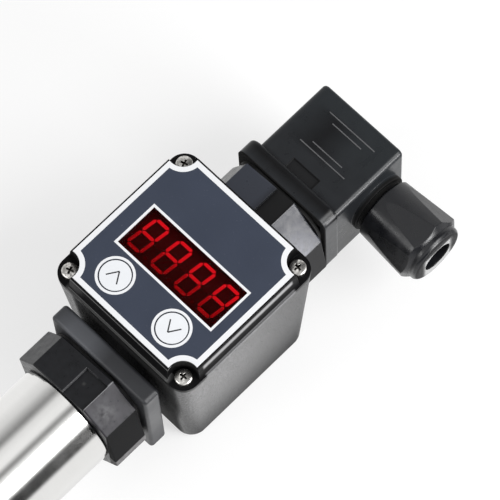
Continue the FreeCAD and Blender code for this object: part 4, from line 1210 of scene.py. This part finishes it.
@dataclass(frozen=True)
class Studio:
    """White table behind the object, pale surroundings with dark gaps, and soft lamps."""

    ambient: float = 0.4
    table_gap: float = 0.4
    table_half: float = 420.0
    table_middle: float = 110.0
    table_fade: Spot = (260.0, 400.0)
    table_glow: float = 0.62
    table_white: float = 0.40
    # Brightness seen by reflections, by angle from the front round to the gland's side: near the horizon,
    # which the tube mirrors, and higher up, which the head and the plug mirror
    low_ring: Stops = (
        (-180, 0.95), (-88, 0.93), (-58, 0.73), (-34, 0.23), (-29, 0.33), (-20, 0.86), (-6, 1.0), (4, 1.0),
        (13, 0.26), (16, 0.26), (26, 1.0), (56, 1.0), (65, 0.0), (87, 0.0), (95, 0.9), (150, 0.95),
        (170, 0.86),
    )
    high_ring: Stops = (
        (-180, 0.95), (-60, 0.90), (-28, 0.88), (-20, 0.14), (-14, 0.06), (10, 0.06), (20, 0.40), (27, 0.97),
        (57, 0.97), (63, 0.30), (68, 0.08), (83, 0.08), (90, 0.90), (128, 0.90), (140, 0.15), (156, 0.15),
        (162, 0.95),
    )
    ring_change: Spot = (12.0, 14.5)
    # Card behind the case's side: its limits, brightness across it, and how it dims upwards
    card_x: Spot = (20.0, 42.0)
    card_z: Spot = (84.0, 150.0)
    card_y: float = 25.05
    card_stops: Stops = (
        (0.0, 0.18), (0.12, 0.26), (0.2, 0.42), (0.27, 0.62), (0.4, 0.85), (0.7, 1.0), (1.0, 0.9),
    )
    card_power: float = 2.5
    card_fade: Spot = (110.0, 135.0)
    card_top: float = 0.7
    lamps: tuple[Softbox, ...] = (
        Softbox("key", 43, 20, 0.9, (0.44, 0.55), 5.2),
        Softbox("left", -95, 25, 1.0, (0.6, 0.6), 4.0, mirrored=False),
        Softbox("card", 77, 14.4, 0.35, (0.12, 0.12), 0.7, (10.0, -11.0, 142.0)),
        Softbox("back_card", 165, 15.5, 0.04, (0.020, 0.026), 0.0045, (41.0, -1.2, 162.5)),
        Softbox("low", -22, -45, 0.6, (0.30, 0.15), 0.6),
    )

    def build(self) -> None:
        """Make the table, the card, the surroundings and the lamps."""
        bpy.context.scene.view_settings.view_transform = "Standard"
        self.table()
        self.side_card()
        self.world()
        for lamp in self.lamps:
            lamp.build()

    def table(self) -> None:
        """White surface just behind the case, seen only from in front, which fades out round its edge."""
        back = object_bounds()[1][1] + self.table_gap * MM
        half = self.table_half * MM
        rise = self.table_middle * MM
        table, graph = Panel("table", "table_white", (-half, rise - half), (half, rise + half), back,
                             ("diffuse", "glossy", "transmission", "shadow")).build()
        white = graph.add("ShaderNodeBsdfDiffuse", {"Color": opaque((self.table_white,) * 3)})
        glow = graph.add("ShaderNodeEmission", {"Strength": self.table_glow})
        lit = graph.add("ShaderNodeAddShader", {0: white, 1: glow})
        middle = (0.0, back / MM, self.table_middle)
        away = graph.add("ShaderNodeVectorMath", {0: graph.place_mm(), 1: middle}, operation="DISTANCE")
        faded = graph.span(away.outputs["Value"], *self.table_fade, 0.0, 1.0)
        behind = graph.add("ShaderNodeNewGeometry").outputs["Backfacing"]
        clear = graph.add("ShaderNodeBsdfTransparent")
        mixed = graph.add("ShaderNodeMixShader", {0: graph.largest(faded, behind), 1: lit, 2: clear})
        graph.add("ShaderNodeOutputMaterial", {0: mixed})
        table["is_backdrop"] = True

    def side_card(self) -> None:
        """Small bright card behind the case, which only the case's side mirrors, dimmer near the case."""
        low, high = ((x * MM, z * MM) for x, z in zip(self.card_x, self.card_z))
        card, graph = Panel("side_card", "card_glow", low, high, self.card_y * MM,
                            ("camera", "diffuse", "transmission", "shadow", "volume_scatter")).build()
        axes = graph.axes_mm()
        across = graph.ramp(graph.span(axes[0], *self.card_x, 0.0, 1.0), self.card_stops)
        fade = graph.span(axes[2], *self.card_fade, 1.0, self.card_top)
        glow = graph.add("ShaderNodeEmission", {"Strength": graph.product(across, fade, self.card_power)})
        graph.add("ShaderNodeOutputMaterial", {0: glow})
        card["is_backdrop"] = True

    def world(self) -> None:
        """White to the camera; reflections see the surround, and diffuse light comes evenly."""
        world = bpy.data.worlds.new("studio")
        bpy.context.scene.world = world
        world.use_nodes = True
        world.cycles.sampling_method = "NONE"
        world.node_tree.nodes.clear()
        graph = Graph(world.node_tree)
        way = graph.add("ShaderNodeSeparateXYZ", {0: graph.add("ShaderNodeTexCoord").outputs["Generated"]})
        toward = graph.math("MULTIPLY", way.outputs[1], -1.0)
        turn = graph.span(graph.math("ARCTAN2", way.outputs[0], toward), -math.pi, math.pi, 0.0, 1.0)
        low, high = (math.sin(math.radians(rise)) for rise in self.ring_change)
        height = graph.span(way.outputs[2], low, high, 0.0, 1.0)
        rings = [
            graph.ramp(turn, [((degrees + 180) / 360, value) for degrees, value in stops])
            for stops in (self.low_ring, self.high_ring)
        ]
        path = graph.add("ShaderNodeLightPath").outputs
        mirrored = graph.largest(path["Is Glossy Ray"], path["Is Transmission Ray"])
        unseen = graph.mix(mirrored, (self.ambient,) * 3, graph.mix(height, *rings))
        seen = graph.mix(path["Is Camera Ray"], unseen, (1.0, 1.0, 1.0))
        back = graph.add("ShaderNodeBackground", {"Color": seen, "Strength": 1.0})
        graph.add("ShaderNodeOutputWorld", {0: back})


def main() -> None:
    """Dress the frame, light it and aim the camera."""
    logging.basicConfig(level=logging.INFO, format="%(name)s %(message)s")
    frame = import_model()
    nodes = frame["nodes"]
    for tone, names in NODE_TONES.items():
        for name in names:
            paint(nodes[name], tone.material)
    DisplayFront().build(nodes)
    LOG.info("piece %s", ProcessEnd().build(nodes).name)
    LOG.info("piece %s", PlugLines().build().name)
    PhotoCamera().build()
    Studio().build()


if __name__ == "__main__":
    main()
